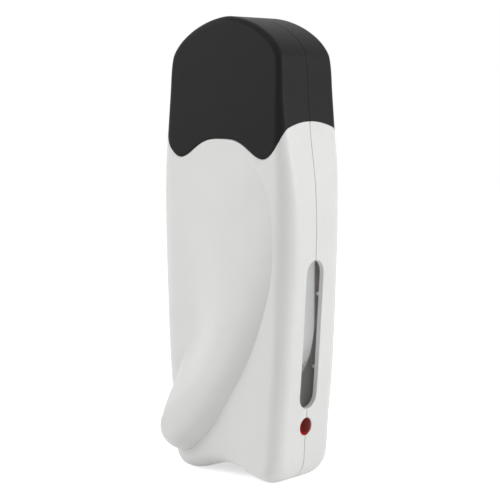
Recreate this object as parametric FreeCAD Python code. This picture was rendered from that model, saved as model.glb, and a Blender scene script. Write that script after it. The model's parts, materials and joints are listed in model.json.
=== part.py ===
"""Roll-on wax cartridge heater, built piece by piece.

Frame: millimetres, +Z up, origin on the ground under the middle of the bounding box.
The broad flat front faces -Y and the level window is on the +X side.
Each function makes one piece (or one group of like pieces) in its place.
"""
import FreeCAD, Part
import math
import os

from FreeCAD import Vector

os.makedirs("parts", exist_ok=True)

# ---------------------------------------------------------------- driving sizes
HEIGHT = 215.0              # feet to the top of the cap
CASE_Y = 4.77               # the case stands this far back, because the grip stands out in front
FRONT_Y = CASE_Y - 21.6     # flat front of the case
REAR_Y = CASE_Y + 20.8      # flat rear of the case
PARTING_Y = CASE_Y - 1.0    # plane where the two shells meet
PARTING_GAP = 0.3           # shadow line between the shells
WALL = 2.2                  # wall of the case
CAP_WALL = 1.8              # wall of the cap
SEAM_GAP = 0.3              # shadow line between the case and the cap
FIT_GAP = 0.1               # gap between pieces that sit in one another

BODY_TOP = 182.0            # the case is drawn to here, then cut along the seam
CAP_BASE = 140.0            # the cap is drawn from here, then cut along the seam
# half widths of the case and of the cap at a few heights
BODY_WIDTHS = ((182, 35.4), (170, 35.8), (158, 36.8), (150, 38.0), (140, 39.2), (124, 40.1),
               (106, 39.9), (86, 38.8), (64, 37.4), (42, 35.8), (26, 34.3), (12.5, 33.4))
CAP_WIDTHS = ((140, 37.2), (150, 36.9), (158, 36.4), (168, 35.5), (182, 34.3))
# rounding of the front and rear edges, which changes evenly between these heights
BODY_CORNERS = ((0, 6.0), (19, 6.8), (64, 7.4), (122, 9.0), (152, 6.2), (182, 3.6))
CAP_CORNERS = ((140, 6.4), (160, 5.0), (175, 3.6), (215, 3.2))
CAP_LEAN = 0.05             # how far the cap's faces lean in, per mm of height
CAP_SHOULDER_X = 33.4       # where the sides of the cap turn into its arched top
CAP_SHOULDER_Z = 194.6
CAP_ARCH_POWER = 1.69       # superellipse power of the arched top

FOOT_X = 24.2               # the two feet, left and right of the middle
FOOT_CORNER_HEIGHT = 12.5   # height over which the sides turn in to the feet
ARCH_HEIGHT = 5.5           # rise of the bottom edge between the feet
FOOT_FLAT = 0.12            # the round feet are cut flat this far up, to stand on

LOBE_X = 25.0               # the cap's lower edge is lowest at its two front lobes
LOBE_Z = 150.0
FRONT_ARCH_RISE = 8.7       # rise of that edge between the lobes
FRONT_ARCH_POWER = 1.55     # makes the arch broad at its top
CORNER_CLIMB = 0.096        # climb outside the lobes, per mm squared
SIDE_ARCH_RISE = 5.6        # further rise towards the middle of each side

WINDOW_Z = 69.2             # middle of the level window
WINDOW_LENGTH = 69.4
WINDOW_WIDTH = 12.2
LENS_RECESS = 0.5           # the window's face below the case's skin
LENS_FACE = 2.6             # depth of its inner face
LENS_FLANGE = 2.0           # lip round the window, inside the case
LENS_FLANGE_THICK = 1.3
LAMP_Z = 25.9
LAMP_RADIUS = 4.15
LAMP_STANDS_OUT = 0.2       # the lens's domed face beyond the case's side
LAMP_DOME = 16.0            # radius of that face
LAMP_INNER_X = 29.5         # inner end of the lens
LAMP_LIP = 1.0
LAMP_LIP_THICK = 1.6
LAMP_BORE_RADIUS = 2.8
LAMP_BORE_END = 33.5
LAMP_BASE_X = 20.0          # inner end of the neon lamp
NEON_RADIUS = 2.3
NEON_LENGTH = 9.0
CLIP_X = 21.0               # clip that holds the neon lamp
CLIP_THICK = 4.0
CLIP_HALF = 3.6
RESISTOR_X = 11.0
RESISTOR_LENGTH = 6.0
RESISTOR_RADIUS = 1.2
THIN_WIRE = 0.45            # radius of bare wire

WELL_Y = CASE_Y - 0.4       # middle of the cartridge well, front to rear
WELL_HALF_WIDTH = 27.5      # inside of the heating chamber
WELL_HALF_DEPTH = 15.6
CHAMBER_WALL = 1.0
CHAMBER_FLOOR = 46.0
CHAMBER_TOP = 168.0
CHAMBER_BEND = 22.0         # turn between the chamber's sides and its floor
CHAMBER_CORNER = 5.0
RIM_REACH = 0.4             # lip at the mouth of the chamber
RIM_THICK = 1.0
DECK_THICK = 2.2
COLLAR_HALF_WIDTH = 32.8
COLLAR_HALF_DEPTH = 18.4
COLLAR_CORNER = 4.5
COLLAR_WALL = 1.3
COLLAR_BOTTOM = 144.0
COLLAR_TOP = 172.0
FLANGE_THICK = 2.5

SHIELD_X = 29.2             # dark plate behind the window
SHIELD_THICK = 0.6
SHIELD_BOTTOM = 33.0
SHIELD_TOP = 107.0
SHIELD_FRONT = 12.0         # its reach to the front and to the rear of the middle
SHIELD_REAR = 17.0
SHIELD_EDGE = 11.5          # its upright edge behind the window, from the middle of the case
SHIELD_BEND_Z = 74.0        # the edge turns under the chamber along a quarter ellipse from here
SHIELD_BEND_WIDTH = 19.5
SHIELD_BEND_HEIGHT = 28.0
# spacer pins: distance behind the middle, height, and how far out their inner end is
SHIELD_PINS = ((13.0, 86.3, 27.4), (10.2, 52.2, 21.8))
SHIELD_PIN_RADIUS = 0.5
SHIELD_HEAD_RADIUS = 0.9
SHIELD_HEAD_THICK = 0.5
HEATER_BOTTOM = 92.0
HEATER_TOP = 126.0
HEATER_THICK = 4.0
HEATER_HALF_DEPTH = 11.0
INLET_HALF_WIDTH = 10.0
INLET_HALF_DEPTH = 6.0
INLET_BOTTOM = 5.7
INLET_TOP = 24.0
PIN_SPACING = 8.6
PIN_RADIUS = 1.15
PIN_RECESS = 1.5            # the pins start this far inside the mouth
LOBE_RADIUS = 4.2           # the mouth: two round lobes joined by a narrower waist
WAIST_HALF_DEPTH = 3.2
MOUTH_DEPTH = 10.0
SHOULDER_REACH = 2.0        # shoulder that the case holds the inlet by
SHOULDER_BOTTOM = 9.5
SHOULDER_TOP = 12.5
BLOCK_HALF_WIDTH = 9.0      # terminal block above the inlet
BLOCK_HALF_DEPTH = 4.5
BLOCK_BOTTOM = 26.4
BLOCK_TOP = 33.4
BLOCK_WELL = 3.0            # depth of the wells its screws stand in
TERMINAL_RADIUS = 1.7
TERMINAL_HEIGHT = 2.4
SLOT_HALF = 0.3
SLOT_DEPTH = 0.7
WIRE_RADIUS = 0.9

UPPER_BOSS = (33.4, 132.0)  # case screws: distance from the middle, and height
LOWER_BOSS = (20.0, 14.5)
BOSS_RADIUS = 3.0
TOWER_RADIUS = 3.6
ROOT = 0.5                  # how far a boss starts inside the wall that carries it
BOSS_BLIND = 4.0            # closed end of the pilot hole in a front boss
SCREW_RADIUS = 1.25
THREAD_GAP = 0.02
SCREW_HEAD_RADIUS = 2.7
SCREW_HEAD_THICK = 2.2
CROSS_LONG = 1.6            # half sizes of the cross recess in a screw's head
CROSS_WIDE = 0.35
HEAD_SEAT_Y = REAR_Y - 12.0
GROOVE_DEPTH = 1.8          # lap joint of the shells: a groove in the front one, a tongue on the rear one
TONGUE_REACH = 1.5

CRADLE_HALF_X = 20.0
CRADLE_HALF_Y = 13.0
CRADLE_BOTTOM = 38.0
CRADLE_TOP = 50.0
CRADLE_WALL = 4.0
CRADLE_LUG_X = 19.0
CRADLE_LUG_HALF = 3.0
CRADLE_SCREW_Z = 41.0
CRADLE_SCREW_RADIUS = 1.0
CRADLE_HEAD_RADIUS = 2.0
CRADLE_SEAT_Y = REAR_Y - 1.2

SHEET_HALF_WIDTH = 26.0     # ceramic paper round the chamber
SHEET_BOTTOM = 70.0
SHEET_TOP = 140.0
SHEET_THICK = 0.8
SHEET_CORNER = 4.0
CLAMP_THICK = 0.7
CLAMP_SHORTER = 4.0         # the heater stands out of its clamp by this much at each end

SAMPLES = 120               # samples along an outline that is moved inwards
FAR = 60.0                  # further out than any piece, sideways
OPENING_X = 20.0            # the side openings are cut from here outwards

X_AXIS = Vector(1, 0, 0)
Y_AXIS = Vector(0, 1, 0)
Z_AXIS = Vector(0, 0, 1)
CHAMBER_X = WELL_HALF_WIDTH + CHAMBER_WALL
THERMOSTAT_Y = WELL_Y - 2.4
THERMOSTAT_Z = 79.0
THERMOSTAT_RADIUS = 6.5
THERMOSTAT_THICK = 4.0
BLADE_X = -CHAMBER_X - 2.0
BLADE_THICK = 0.8
BLADE_HALF_WIDTH = 1.2
BLADE_REACH = 10.0          # from the middle of the thermostat to the end of a blade
FUSE_X = -CHAMBER_X - 1.8
FUSE_Y = WELL_Y + 9.0
FUSE_BOTTOM = 66.0
FUSE_TOP = 83.0
FUSE_CAN_BOTTOM = 70.0
FUSE_CAN_RADIUS = 1.6
FUSE_CAN_LENGTH = 9.0
LEAD_BEND = 4.0             # bend radius of the leads
LEAD_TURN_X = -20.0         # the leads turn from the terminal block to the heater here
LEAD_TURN_Z = 42.0
LEAD_SPACING = 5.0
CHAMBER_HALF_DEPTH = WELL_HALF_DEPTH + CHAMBER_WALL
REAR_INSIDE = REAR_Y - WALL
FRONT_INSIDE = FRONT_Y + WALL


# ---------------------------------------------------------------- small helpers
def box(x0, x1, y0, y1, z0, z1):
    return Part.makeBox(x1 - x0, y1 - y0, z1 - z0, Vector(x0, y0, z0))


def rod(start, axis, radius, length):
    return Part.makeCylinder(radius, length, Vector(*start), axis)


def rounded_slab(half_x, half_y, corner, z0, z1, middle_y=0.0):
    """Upright block with rounded vertical edges."""
    block = box(-half_x, half_x, middle_y - half_y, middle_y + half_y, z0, z1)
    upright = [edge for edge in block.Edges if abs(edge.Vertexes[0].Z - edge.Vertexes[-1].Z) > 0.5 * (z1 - z0)]
    return block.makeFillet(corner, upright)


def stadium(width, length, middle_z, x0, x1):
    """Bar along X whose section is an upright slot with round ends."""
    radius = width / 2
    reach = length / 2 - radius
    middle = box(x0, x1, PARTING_Y - radius, PARTING_Y + radius, middle_z - reach, middle_z + reach)
    ends = [rod((x0, PARTING_Y, middle_z + side * reach), X_AXIS, radius, x1 - x0) for side in (-1, 1)]
    return middle.fuse(ends).removeSplitter()


def smooth_reader(pairs):
    """A smooth curve through (place, value) pairs, read as the value at a place."""
    points = [Vector(place, value, 0) for place, value in sorted(pairs)]
    curve = Part.BSplineCurve()
    curve.interpolate(points, Parameters=[point.x for point in points])

    def read(place):
        inside = min(max(place, points[0].x), points[-1].x)
        return curve.value(inside).y

    return read


def group(solids):
    return Part.makeCompound(solids)


body_width = smooth_reader(BODY_WIDTHS)
cap_width = smooth_reader(CAP_WIDTHS)


# ---------------------------------------------------------------- outlines and skins
def mirrored(right_half):
    """Left to right outline from its right half, which starts on the middle line."""
    left_half = [Vector(-point.x, 0, point.z) for point in reversed(right_half)]
    return left_half + right_half[1:]


def body_outline():
    """Front view of the case: open at the top, with two feet and an arch between them."""
    right = []
    for step in range(5):
        x = FOOT_X * step / 5
        right.append(Vector(x, 0, ARCH_HEIGHT * (1 + math.cos(math.pi * x / FOOT_X)) / 2 - FOOT_FLAT))
    reach = body_width(FOOT_CORNER_HEIGHT) - FOOT_X
    for step in range(5):
        turn = math.radians(90 * step / 5)
        drop = FOOT_CORNER_HEIGHT * (1 - math.cos(turn))
        right.append(Vector(FOOT_X + reach * math.sin(turn), 0, drop - FOOT_FLAT))
    for height in (14, 20, 30, 42, 64, 86, 106, 124, 140, 150, 158, 170, BODY_TOP):
        right.append(Vector(body_width(height), 0, height))
    return mirrored(right)


def cap_outline():
    """Front view of the cap: open at the bottom, with an arched top."""
    right = []
    rise = HEIGHT - CAP_SHOULDER_Z
    for step in range(9):
        turn = math.radians(90 * step / 9)
        across = CAP_SHOULDER_X * math.sin(turn) ** (2 / CAP_ARCH_POWER)
        up = rise * math.cos(turn) ** (2 / CAP_ARCH_POWER)
        right.append(Vector(across, 0, CAP_SHOULDER_Z + up))
    right.append(Vector(CAP_SHOULDER_X, 0, CAP_SHOULDER_Z))
    for height in (182, 168, 158, 150, CAP_BASE):
        right.append(Vector(cap_width(height), 0, height))
    return mirrored(right)


def moved_inwards(points, inset, side):
    """The smooth curve through the points, moved sideways by the inset."""
    curve = Part.BSplineCurve()
    curve.interpolate(points)
    if inset == 0:
        return curve
    moved = []
    for step in range(SAMPLES + 1):
        at = curve.FirstParameter + (curve.LastParameter - curve.FirstParameter) * step / SAMPLES
        point = curve.value(at)
        tangent = curve.tangent(at)[0]
        normal = Vector(-tangent.z, 0, tangent.x) * side
        if step in (0, SAMPLES):
            normal = Vector(-math.copysign(1, point.x), 0, 0)
        moved.append(point + normal * inset)
    inner = Part.BSplineCurve()
    inner.interpolate(moved)
    return inner


def height_parameter(curve, start, end, height):
    """Where the curve crosses a height between two of its parameters, found by halving."""
    rising = curve.value(end).z > curve.value(start).z
    for _ in range(40):
        middle = (start + end) / 2
        if (curve.value(middle).z < height) == rising:
            start = middle
        else:
            end = middle
    return (start + end) / 2


def case_solid(curve, splits, front, rear, radius_at):
    """Outline swept front to rear between two leaning faces, with rounded edges.

    The edges are split at the given heights, and the rounding changes evenly along each piece.
    """
    first, last = curve.FirstParameter, curve.LastParameter
    middle = (first + last) / 2
    left = [height_parameter(curve, first, middle, height) for height in splits]
    right = [height_parameter(curve, middle, last, height) for height in reversed(splits)]
    cuts = [first] + left + [middle] + right + [last]
    edges = [curve.toShape(start, end) for start, end in zip(cuts, cuts[1:])]
    edges.append(Part.makeLine(curve.value(last), curve.value(first)))
    reach = 2 * max(abs(front(0)), abs(rear(0)))
    sheet = Part.Face(Part.Wire(edges))
    sheet.translate(Vector(0, -reach, 0))
    block = sheet.extrude(Vector(0, 2 * reach, 0))
    low, high = -1.0, HEIGHT + 1.0
    corners = [Vector(-2 * reach, front(low), low), Vector(-2 * reach, rear(low), low),
               Vector(-2 * reach, rear(high), high), Vector(-2 * reach, front(high), high)]
    wedge = Part.Face(Part.makePolygon(corners + corners[:1])).extrude(Vector(4 * reach, 0, 0))
    block = block.common(wedge)
    open_z = curve.value(first).z

    rims = []
    for index, edge in enumerate(block.Edges):
        ends = [edge.valueAt(edge.FirstParameter), edge.valueAt(edge.LastParameter)]
        midway = edge.valueAt((edge.FirstParameter + edge.LastParameter) / 2)
        on_front = all(abs(point.y - front(point.z)) < 1e-4 for point in ends + [midway])
        on_rear = all(abs(point.y - rear(point.z)) < 1e-4 for point in ends + [midway])
        at_open_end = abs(midway.z - open_z) < 1e-3 and abs(ends[0].z - open_z) < 1e-3
        if (on_front or on_rear) and not at_open_end:
            rims.append((index + 1, radius_at(ends[0].z), radius_at(ends[1].z)))

    document = FreeCAD.newDocument()
    source = document.addObject("Part::Feature", "Block")
    source.Shape = block
    rounded = document.addObject("Part::Fillet", "Rounded")
    rounded.Base = source
    rounded.Edges = rims
    document.recompute()
    solid = rounded.Shape.Solids[0].copy()
    FreeCAD.closeDocument(document.Name)
    return solid


def body_solid(inset):
    """Outer shape of the case, moved inwards by the inset."""
    corner_at = smooth_reader([(height, radius) for height, radius in BODY_CORNERS])
    curve = moved_inwards(body_outline(), inset, 1)
    splits = [height for height, radius in reversed(BODY_CORNERS[1:-1])]
    return case_solid(curve, splits, lambda z: FRONT_Y + inset, lambda z: REAR_Y - inset,
                      lambda z: max(corner_at(z) - inset, 1.0))


def cap_solid(inset):
    """Outer shape of the cap, moved inwards by the inset."""
    corner_at = smooth_reader(CAP_CORNERS)
    curve = moved_inwards(cap_outline(), inset, -1)
    seam = LOBE_Z + FRONT_ARCH_RISE
    splits = [height for height, radius in CAP_CORNERS[1:-1]]
    return case_solid(curve, splits, lambda z: FRONT_Y + inset + CAP_LEAN * (z - seam),
                      lambda z: REAR_Y - inset - CAP_LEAN * (z - seam),
                      lambda z: max(corner_at(z) - inset, 1.0))


def seam_height(x, y):
    """Height of the scalloped seam between the case and the cap."""
    across = abs(x)
    share = min(across / LOBE_X, 1.0)
    wave = FRONT_ARCH_RISE * (1 + math.cos(math.pi * share ** FRONT_ARCH_POWER)) / 2
    wave += CORNER_CLIMB * max(across - LOBE_X, 0.0) ** 2
    half_depth = (REAR_Y - FRONT_Y) / 2
    from_middle = (y - (REAR_Y + FRONT_Y) / 2) / half_depth
    return LOBE_Z + wave + SIDE_ARCH_RISE * (1 - from_middle ** 2)


def above_seam(lift):
    """Everything above the seam, with the seam lifted a little."""
    rows = []
    for x_step in range(-21, 22):
        x = x_step * 2.0
        rows.append([Vector(x, CASE_Y + y, seam_height(x, CASE_Y + y) + lift) for y in range(-24, 25, 4)])
    surface = Part.BSplineSurface()
    surface.interpolate(rows)
    return surface.toShape().extrude(Vector(0, 0, HEIGHT))


# ---------------------------------------------------------------- finger grip on the front
# middle line of the grip's ridge: (x, z), height off the face, and half width to each side
GRIP_RIDGE = (
    (0.0, 123.5, 1.3, 29.7, 29.7),
    (1.8, 109.5, 2.2, 28.5, 29.4),
    (4.4, 95.0, 3.4, 27.0, 26.3),
    (5.6, 82.0, 4.4, 25.5, 21.0),
    (4.4, 69.5, 5.1, 24.0, 16.5),
    (-0.2, 57.8, 5.8, 22.0, 14.8),
    (-8.6, 46.0, 6.7, 18.5, 15.2),
    (-18.7, 34.0, 8.5, 13.5, 16.7),
    (-27.0, 23.8, 9.0, 7.2, 15.1),
)
GRIP_SOFT_ABOVE = 50.0      # the left flank fades into the face above this height
GRIP_CRISP_BELOW = 26.0     # and is as crisp as the right one below this height
GRIP_FULLNESS = (3.0, 4.0, 5.0)  # power of the flanks: at the head, right of the nose, left of it
GRIP_RIM = 0.12             # small step all round, where the grip meets the face
GRIP_DEEP = 40.0            # longer than the grip is high
GRIP_GRID = 2.0             # spacing of the grip's surface samples
GRIP_BELOW = -0.6           # how far the surface dips outside the rim, as a share of its height
GRIP_SPAN_X = (-38.5, 36.0)  # stretch of the front that the samples cover
GRIP_SPAN_Z = (5.0, 161.0)
GRIP_BEHIND = 6.0           # the solid grip starts this far inside the case's wall
RIDGE_STEPS = 24            # samples down one side of the grip's outline, and round one end
TURN_STEPS = 12
RIM_PIECES = 12             # the outline is cut into edges, for short, well shaped side faces


def smooth_step(value):
    inside = min(max(value, 0.0), 1.0)
    return inside * inside * (3 - 2 * inside)


class GripRidge:
    """The grip's middle line, with its height and half widths read along it."""

    def __init__(self):
        self.line = Part.BSplineCurve()
        self.line.interpolate([Vector(x, 0, z) for x, z, height, left, right in GRIP_RIDGE])
        places = [self.line.parameter(Vector(x, 0, z)) for x, z, height, left, right in GRIP_RIDGE]
        columns = list(zip(*GRIP_RIDGE))
        self.height = smooth_reader(list(zip(places, columns[2])))
        self.left = smooth_reader(list(zip(places, columns[3])))
        self.right = smooth_reader(list(zip(places, columns[4])))
        self.first = places[0]
        self.last = places[-1]

    def frame(self, at):
        """Point and unit vectors along the ridge and to its right."""
        tangent = self.line.tangent(at)[0]
        return self.line.value(at), tangent, Vector(-tangent.z, 0, tangent.x)

    def rise(self, x, z):
        """Height of the grip off the flat face at (x, z)."""
        place = Vector(x, 0, z)
        at = min(max(self.line.parameter(place), self.first), self.last)
        middle, tangent, right = self.frame(at)
        offset = place - middle
        distance = offset.Length
        lean = offset.dot(right) / distance if distance > 1e-6 else 0.0
        side = smooth_step((lean + 1) / 2)
        half = self.left(at) * (1 - side) + self.right(at) * side
        ratio = distance / half
        nose = smooth_step(2 * (at - self.first) / (self.last - self.first) - 1)
        head, right_nose, left_nose = GRIP_FULLNESS
        power = head + (right_nose - head) * nose + (left_nose - right_nose) * nose * (1 - side)
        crisp = 1 - ratio ** power if ratio < 1 else max(power * (1 - ratio), GRIP_BELOW)
        soft = max(1 - ratio * ratio, 0.0) ** 3
        fade = smooth_step((middle.z - GRIP_CRISP_BELOW) / (GRIP_SOFT_ABOVE - GRIP_CRISP_BELOW))
        fade *= 1 - side
        return self.height(at) * (crisp * (1 - fade) + soft * fade) + GRIP_RIM

    def outline(self, inset):
        """Closed outline of the grip on the face: right side, nose, left side, head."""
        points = []
        for step in range(RIDGE_STEPS + 1):
            at = self.first + (self.last - self.first) * step / RIDGE_STEPS
            middle, tangent, right = self.frame(at)
            points.append(middle + right * (self.right(at) - inset))
        self.turn(points, self.last, 1, inset)
        for step in range(RIDGE_STEPS + 1):
            at = self.last + (self.first - self.last) * step / RIDGE_STEPS
            middle, tangent, right = self.frame(at)
            points.append(middle - right * (self.left(at) - inset))
        self.turn(points, self.first, -1, inset)
        return points

    def turn(self, points, at, ahead, inset):
        """Adds the round end of the outline, from one side of the ridge to the other."""
        middle, tangent, right = self.frame(at)
        for step in range(1, TURN_STEPS):
            angle = math.pi * step / TURN_STEPS
            lean = math.cos(angle) * ahead
            side = smooth_step((lean + 1) / 2)
            half = self.left(at) * (1 - side) + self.right(at) * side - inset
            points.append(middle + (right * lean + tangent * ahead * math.sin(angle)) * half)


def grip_solid(inset):
    """Raised grip moved inwards by the inset, from its curved face to a flat back."""
    ridge = GripRidge()
    low_x, high_x = GRIP_SPAN_X
    low_z, high_z = GRIP_SPAN_Z
    rows = []
    for x_step in range(int((high_x - low_x) / GRIP_GRID) + 1):
        x = low_x + x_step * GRIP_GRID
        column = []
        for z_step in range(int((high_z - low_z) / GRIP_GRID) + 1):
            z = low_z + z_step * GRIP_GRID
            column.append(Vector(x, FRONT_Y + inset - ridge.rise(x, z), z))
        rows.append(column)
    surface = Part.BSplineSurface()
    surface.interpolate(rows)
    block = surface.toShape().extrude(Vector(0, GRIP_DEEP, 0))
    rim = Part.BSplineCurve()
    rim.interpolate(ridge.outline(inset), PeriodicFlag=True)
    start = rim.FirstParameter
    stride = (rim.LastParameter - start) / RIM_PIECES
    edges = [rim.toShape(start + stride * k, start + stride * (k + 1)) for k in range(RIM_PIECES)]
    sheet = Part.Face(Part.Wire(edges))
    sheet.translate(Vector(0, FRONT_INSIDE + GRIP_BEHIND, 0))
    return block.common(sheet.extrude(Vector(0, -GRIP_DEEP, 0))).Solids[0]


# ---------------------------------------------------------------- case shells and cap
def screw_places():
    places = []
    for across, height in (UPPER_BOSS, LOWER_BOSS):
        for side in (-1, 1):
            places.append((side * across, height))
    return places


def below_ground():
    return box(-FAR, FAR, -FAR, FAR, -FAR, 0)


def case_openings():
    """Openings shared by both shells: window, lamp and power inlet."""
    window = stadium(WINDOW_WIDTH, WINDOW_LENGTH, WINDOW_Z, OPENING_X, FAR)
    lamp = rod((OPENING_X, PARTING_Y, LAMP_Z), X_AXIS, LAMP_RADIUS + FIT_GAP, FAR - OPENING_X)
    half_x = INLET_HALF_WIDTH + FIT_GAP
    half_y = INLET_HALF_DEPTH + FIT_GAP
    inlet = box(-half_x, half_x, PARTING_Y - half_y, PARTING_Y + half_y, -FAR, INLET_TOP)
    return window.fuse([lamp, inlet])


def front_shell(outer, inner, lap):
    """Front half of the case, with its finger grip, bosses and the groove of the lap joint."""
    shell = outer.fuse(grip_solid(0)).cut(inner)
    shell = shell.cut(grip_solid(WALL))
    keep = box(-FAR, FAR, -FAR, PARTING_Y - PARTING_GAP / 2, -FAR, BODY_TOP)
    groove = lap.common(box(-FAR, FAR, PARTING_Y - GROOVE_DEPTH, PARTING_Y, -FAR, HEIGHT))
    shell = shell.common(keep).cut(groove)
    bosses = []
    holes = []
    length = PARTING_Y - PARTING_GAP / 2 - FRONT_INSIDE
    for x, z in screw_places():
        bosses.append(rod((x, FRONT_INSIDE - ROOT, z), Y_AXIS, BOSS_RADIUS, length + ROOT))
        holes.append(rod((x, FRONT_INSIDE + BOSS_BLIND, z), Y_AXIS, SCREW_RADIUS + THREAD_GAP, length))
    shell = shell.fuse(bosses).cut(holes).cut(above_seam(0)).cut(case_openings())
    return shell.cut(below_ground())


def rear_shell(outer, inner, lap):
    """Rear half of the case, with the tongue of the lap joint and the screw towers."""
    shell = outer.cut(inner)
    keep = box(-FAR, FAR, PARTING_Y + PARTING_GAP / 2, FAR, -FAR, BODY_TOP)
    tongue = lap.cut(inner).common(box(-FAR, FAR, PARTING_Y - TONGUE_REACH, PARTING_Y + 1, -FAR, HEIGHT))
    shell = shell.common(keep).fuse(tongue)
    towers = []
    holes = []
    start = PARTING_Y + PARTING_GAP / 2
    for x, z in screw_places():
        towers.append(rod((x, start, z), Y_AXIS, TOWER_RADIUS, REAR_INSIDE + ROOT - start))
        holes.append(rod((x, start - ROOT, z), Y_AXIS, SCREW_RADIUS + 0.3, FAR))
        holes.append(rod((x, HEAD_SEAT_Y, z), Y_AXIS, SCREW_HEAD_RADIUS + 0.2, FAR))
    for side in (-1, 1):
        x = side * CRADLE_LUG_X
        holes.append(rod((x, REAR_INSIDE - 1, CRADLE_SCREW_Z), Y_AXIS, CRADLE_SCREW_RADIUS + FIT_GAP, FAR))
        holes.append(rod((x, CRADLE_SEAT_Y, CRADLE_SCREW_Z), Y_AXIS, CRADLE_HEAD_RADIUS + 0.2, FAR))
    towers = group(towers).common(outer)
    shell = shell.fuse(towers).cut(holes).cut(above_seam(0)).cut(case_openings())
    return shell.cut(below_ground())


def cap():
    """Lift-off cap: a hollow shell whose lower edge follows the seam."""
    return cap_solid(0).cut(cap_solid(CAP_WALL)).common(above_seam(SEAM_GAP))


def case_screws():
    """Self-tapping screws from the rear into the front bosses."""
    screws = []
    tip = FRONT_INSIDE + 8
    top = HEAD_SEAT_Y + SCREW_HEAD_THICK
    for x, z in screw_places():
        head = rod((x, HEAD_SEAT_Y, z), Y_AXIS, SCREW_HEAD_RADIUS, SCREW_HEAD_THICK)
        shank = rod((x, tip, z), Y_AXIS, SCREW_RADIUS, HEAD_SEAT_Y - tip)
        across = box(x - CROSS_LONG, x + CROSS_LONG, top - 1, top + 1, z - CROSS_WIDE, z + CROSS_WIDE)
        upright = box(x - CROSS_WIDE, x + CROSS_WIDE, top - 1, top + 1, z - CROSS_LONG, z + CROSS_LONG)
        screws.append(head.fuse(shank).cut([across, upright]))
    return group(screws)


# ---------------------------------------------------------------- cartridge well
def chamber_form(grow, top):
    """Cartridge shape: upright sides that bend in to a narrow flat floor."""
    half_x = WELL_HALF_WIDTH + grow
    half_y = WELL_HALF_DEPTH + grow
    floor = CHAMBER_FLOOR + CHAMBER_WALL - grow
    bend = CHAMBER_BEND - CHAMBER_WALL + grow
    diagonal = bend * (1 - math.sqrt(0.5))
    right_low = Part.Arc(Vector(half_x - bend, 0, floor), Vector(half_x - diagonal, 0, floor + diagonal),
                         Vector(half_x, 0, floor + bend)).toShape()
    left_low = Part.Arc(Vector(-half_x, 0, floor + bend), Vector(diagonal - half_x, 0, floor + diagonal),
                        Vector(bend - half_x, 0, floor)).toShape()
    edges = [left_low,
             Part.makeLine(Vector(bend - half_x, 0, floor), Vector(half_x - bend, 0, floor)),
             right_low,
             Part.makeLine(Vector(half_x, 0, floor + bend), Vector(half_x, 0, top)),
             Part.makeLine(Vector(half_x, 0, top), Vector(-half_x, 0, top)),
             Part.makeLine(Vector(-half_x, 0, top), Vector(-half_x, 0, floor + bend))]
    sheet = Part.Face(Part.Wire(edges))
    sheet.translate(Vector(0, WELL_Y - half_y, 0))
    block = sheet.extrude(Vector(0, 2 * half_y, 0))
    rims = []
    for edge in block.Edges:
        midway = edge.valueAt((edge.FirstParameter + edge.LastParameter) / 2)
        along_y = abs(edge.Vertexes[0].Y - edge.Vertexes[-1].Y) > 1
        if midway.z < top - 0.01 and not along_y:
            rims.append(edge)
    return block.makeFillet(CHAMBER_CORNER - CHAMBER_WALL + grow, rims)


def heating_chamber():
    """Drawn aluminium cup that holds the cartridge, with a turned-out lip."""
    lip = rounded_slab(CHAMBER_X + RIM_REACH, CHAMBER_HALF_DEPTH + RIM_REACH,
                       CHAMBER_CORNER + RIM_REACH, CHAMBER_TOP - RIM_THICK, CHAMBER_TOP, WELL_Y)
    return chamber_form(CHAMBER_WALL, CHAMBER_TOP).fuse(lip).cut(chamber_form(0, CHAMBER_TOP + 1))


def well_collar():
    """Ring that the cap slides over, with a deck that carries the chamber's lip."""
    ring = rounded_slab(COLLAR_HALF_WIDTH, COLLAR_HALF_DEPTH, COLLAR_CORNER, COLLAR_BOTTOM, COLLAR_TOP, WELL_Y)
    deck_top = CHAMBER_TOP - RIM_THICK
    inside_x = COLLAR_HALF_WIDTH - COLLAR_WALL
    inside_y = COLLAR_HALF_DEPTH - COLLAR_WALL
    corner = COLLAR_CORNER - COLLAR_WALL
    above = rounded_slab(inside_x, inside_y, corner, deck_top, COLLAR_TOP + 1, WELL_Y)
    below = rounded_slab(inside_x, inside_y, corner, COLLAR_BOTTOM - 1, deck_top - DECK_THICK, WELL_Y)
    flange = body_solid(WALL + FIT_GAP)
    flange = flange.common(box(-FAR, FAR, -FAR, FAR, COLLAR_BOTTOM, COLLAR_BOTTOM + FLANGE_THICK))
    mouth = rounded_slab(CHAMBER_X + FIT_GAP, CHAMBER_HALF_DEPTH + FIT_GAP, CHAMBER_CORNER + FIT_GAP,
                         deck_top - 10, deck_top + 5, WELL_Y)
    return ring.fuse(flange).cut([above, below, mouth])


def chamber_cradle():
    """Saddle under the chamber, fixed to the rear of the case by two lugs."""
    front, rear = WELL_Y - CRADLE_HALF_Y, WELL_Y + CRADLE_HALF_Y
    block = box(-CRADLE_HALF_X, CRADLE_HALF_X, front, rear, CRADLE_BOTTOM, CRADLE_TOP)
    saddle = chamber_form(CHAMBER_WALL + FIT_GAP, CHAMBER_TOP)
    inside_x = CRADLE_HALF_X - CRADLE_WALL
    relief = box(-inside_x, inside_x, front + CRADLE_WALL, rear - CRADLE_WALL, CRADLE_BOTTOM - 1, CRADLE_TOP + 1)
    cradle = block.cut(relief)
    for side in (-1, 1):
        x = side * CRADLE_LUG_X
        lug = box(x - CRADLE_LUG_HALF, x + CRADLE_LUG_HALF, rear - CRADLE_WALL, REAR_INSIDE - FIT_GAP,
                  CRADLE_BOTTOM, CRADLE_SCREW_Z + CRADLE_LUG_HALF)
        hole = rod((x, WELL_Y, CRADLE_SCREW_Z), Y_AXIS, CRADLE_SCREW_RADIUS + THREAD_GAP, FAR)
        cradle = cradle.fuse(lug).cut(hole)
    return cradle.cut(saddle)


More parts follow.
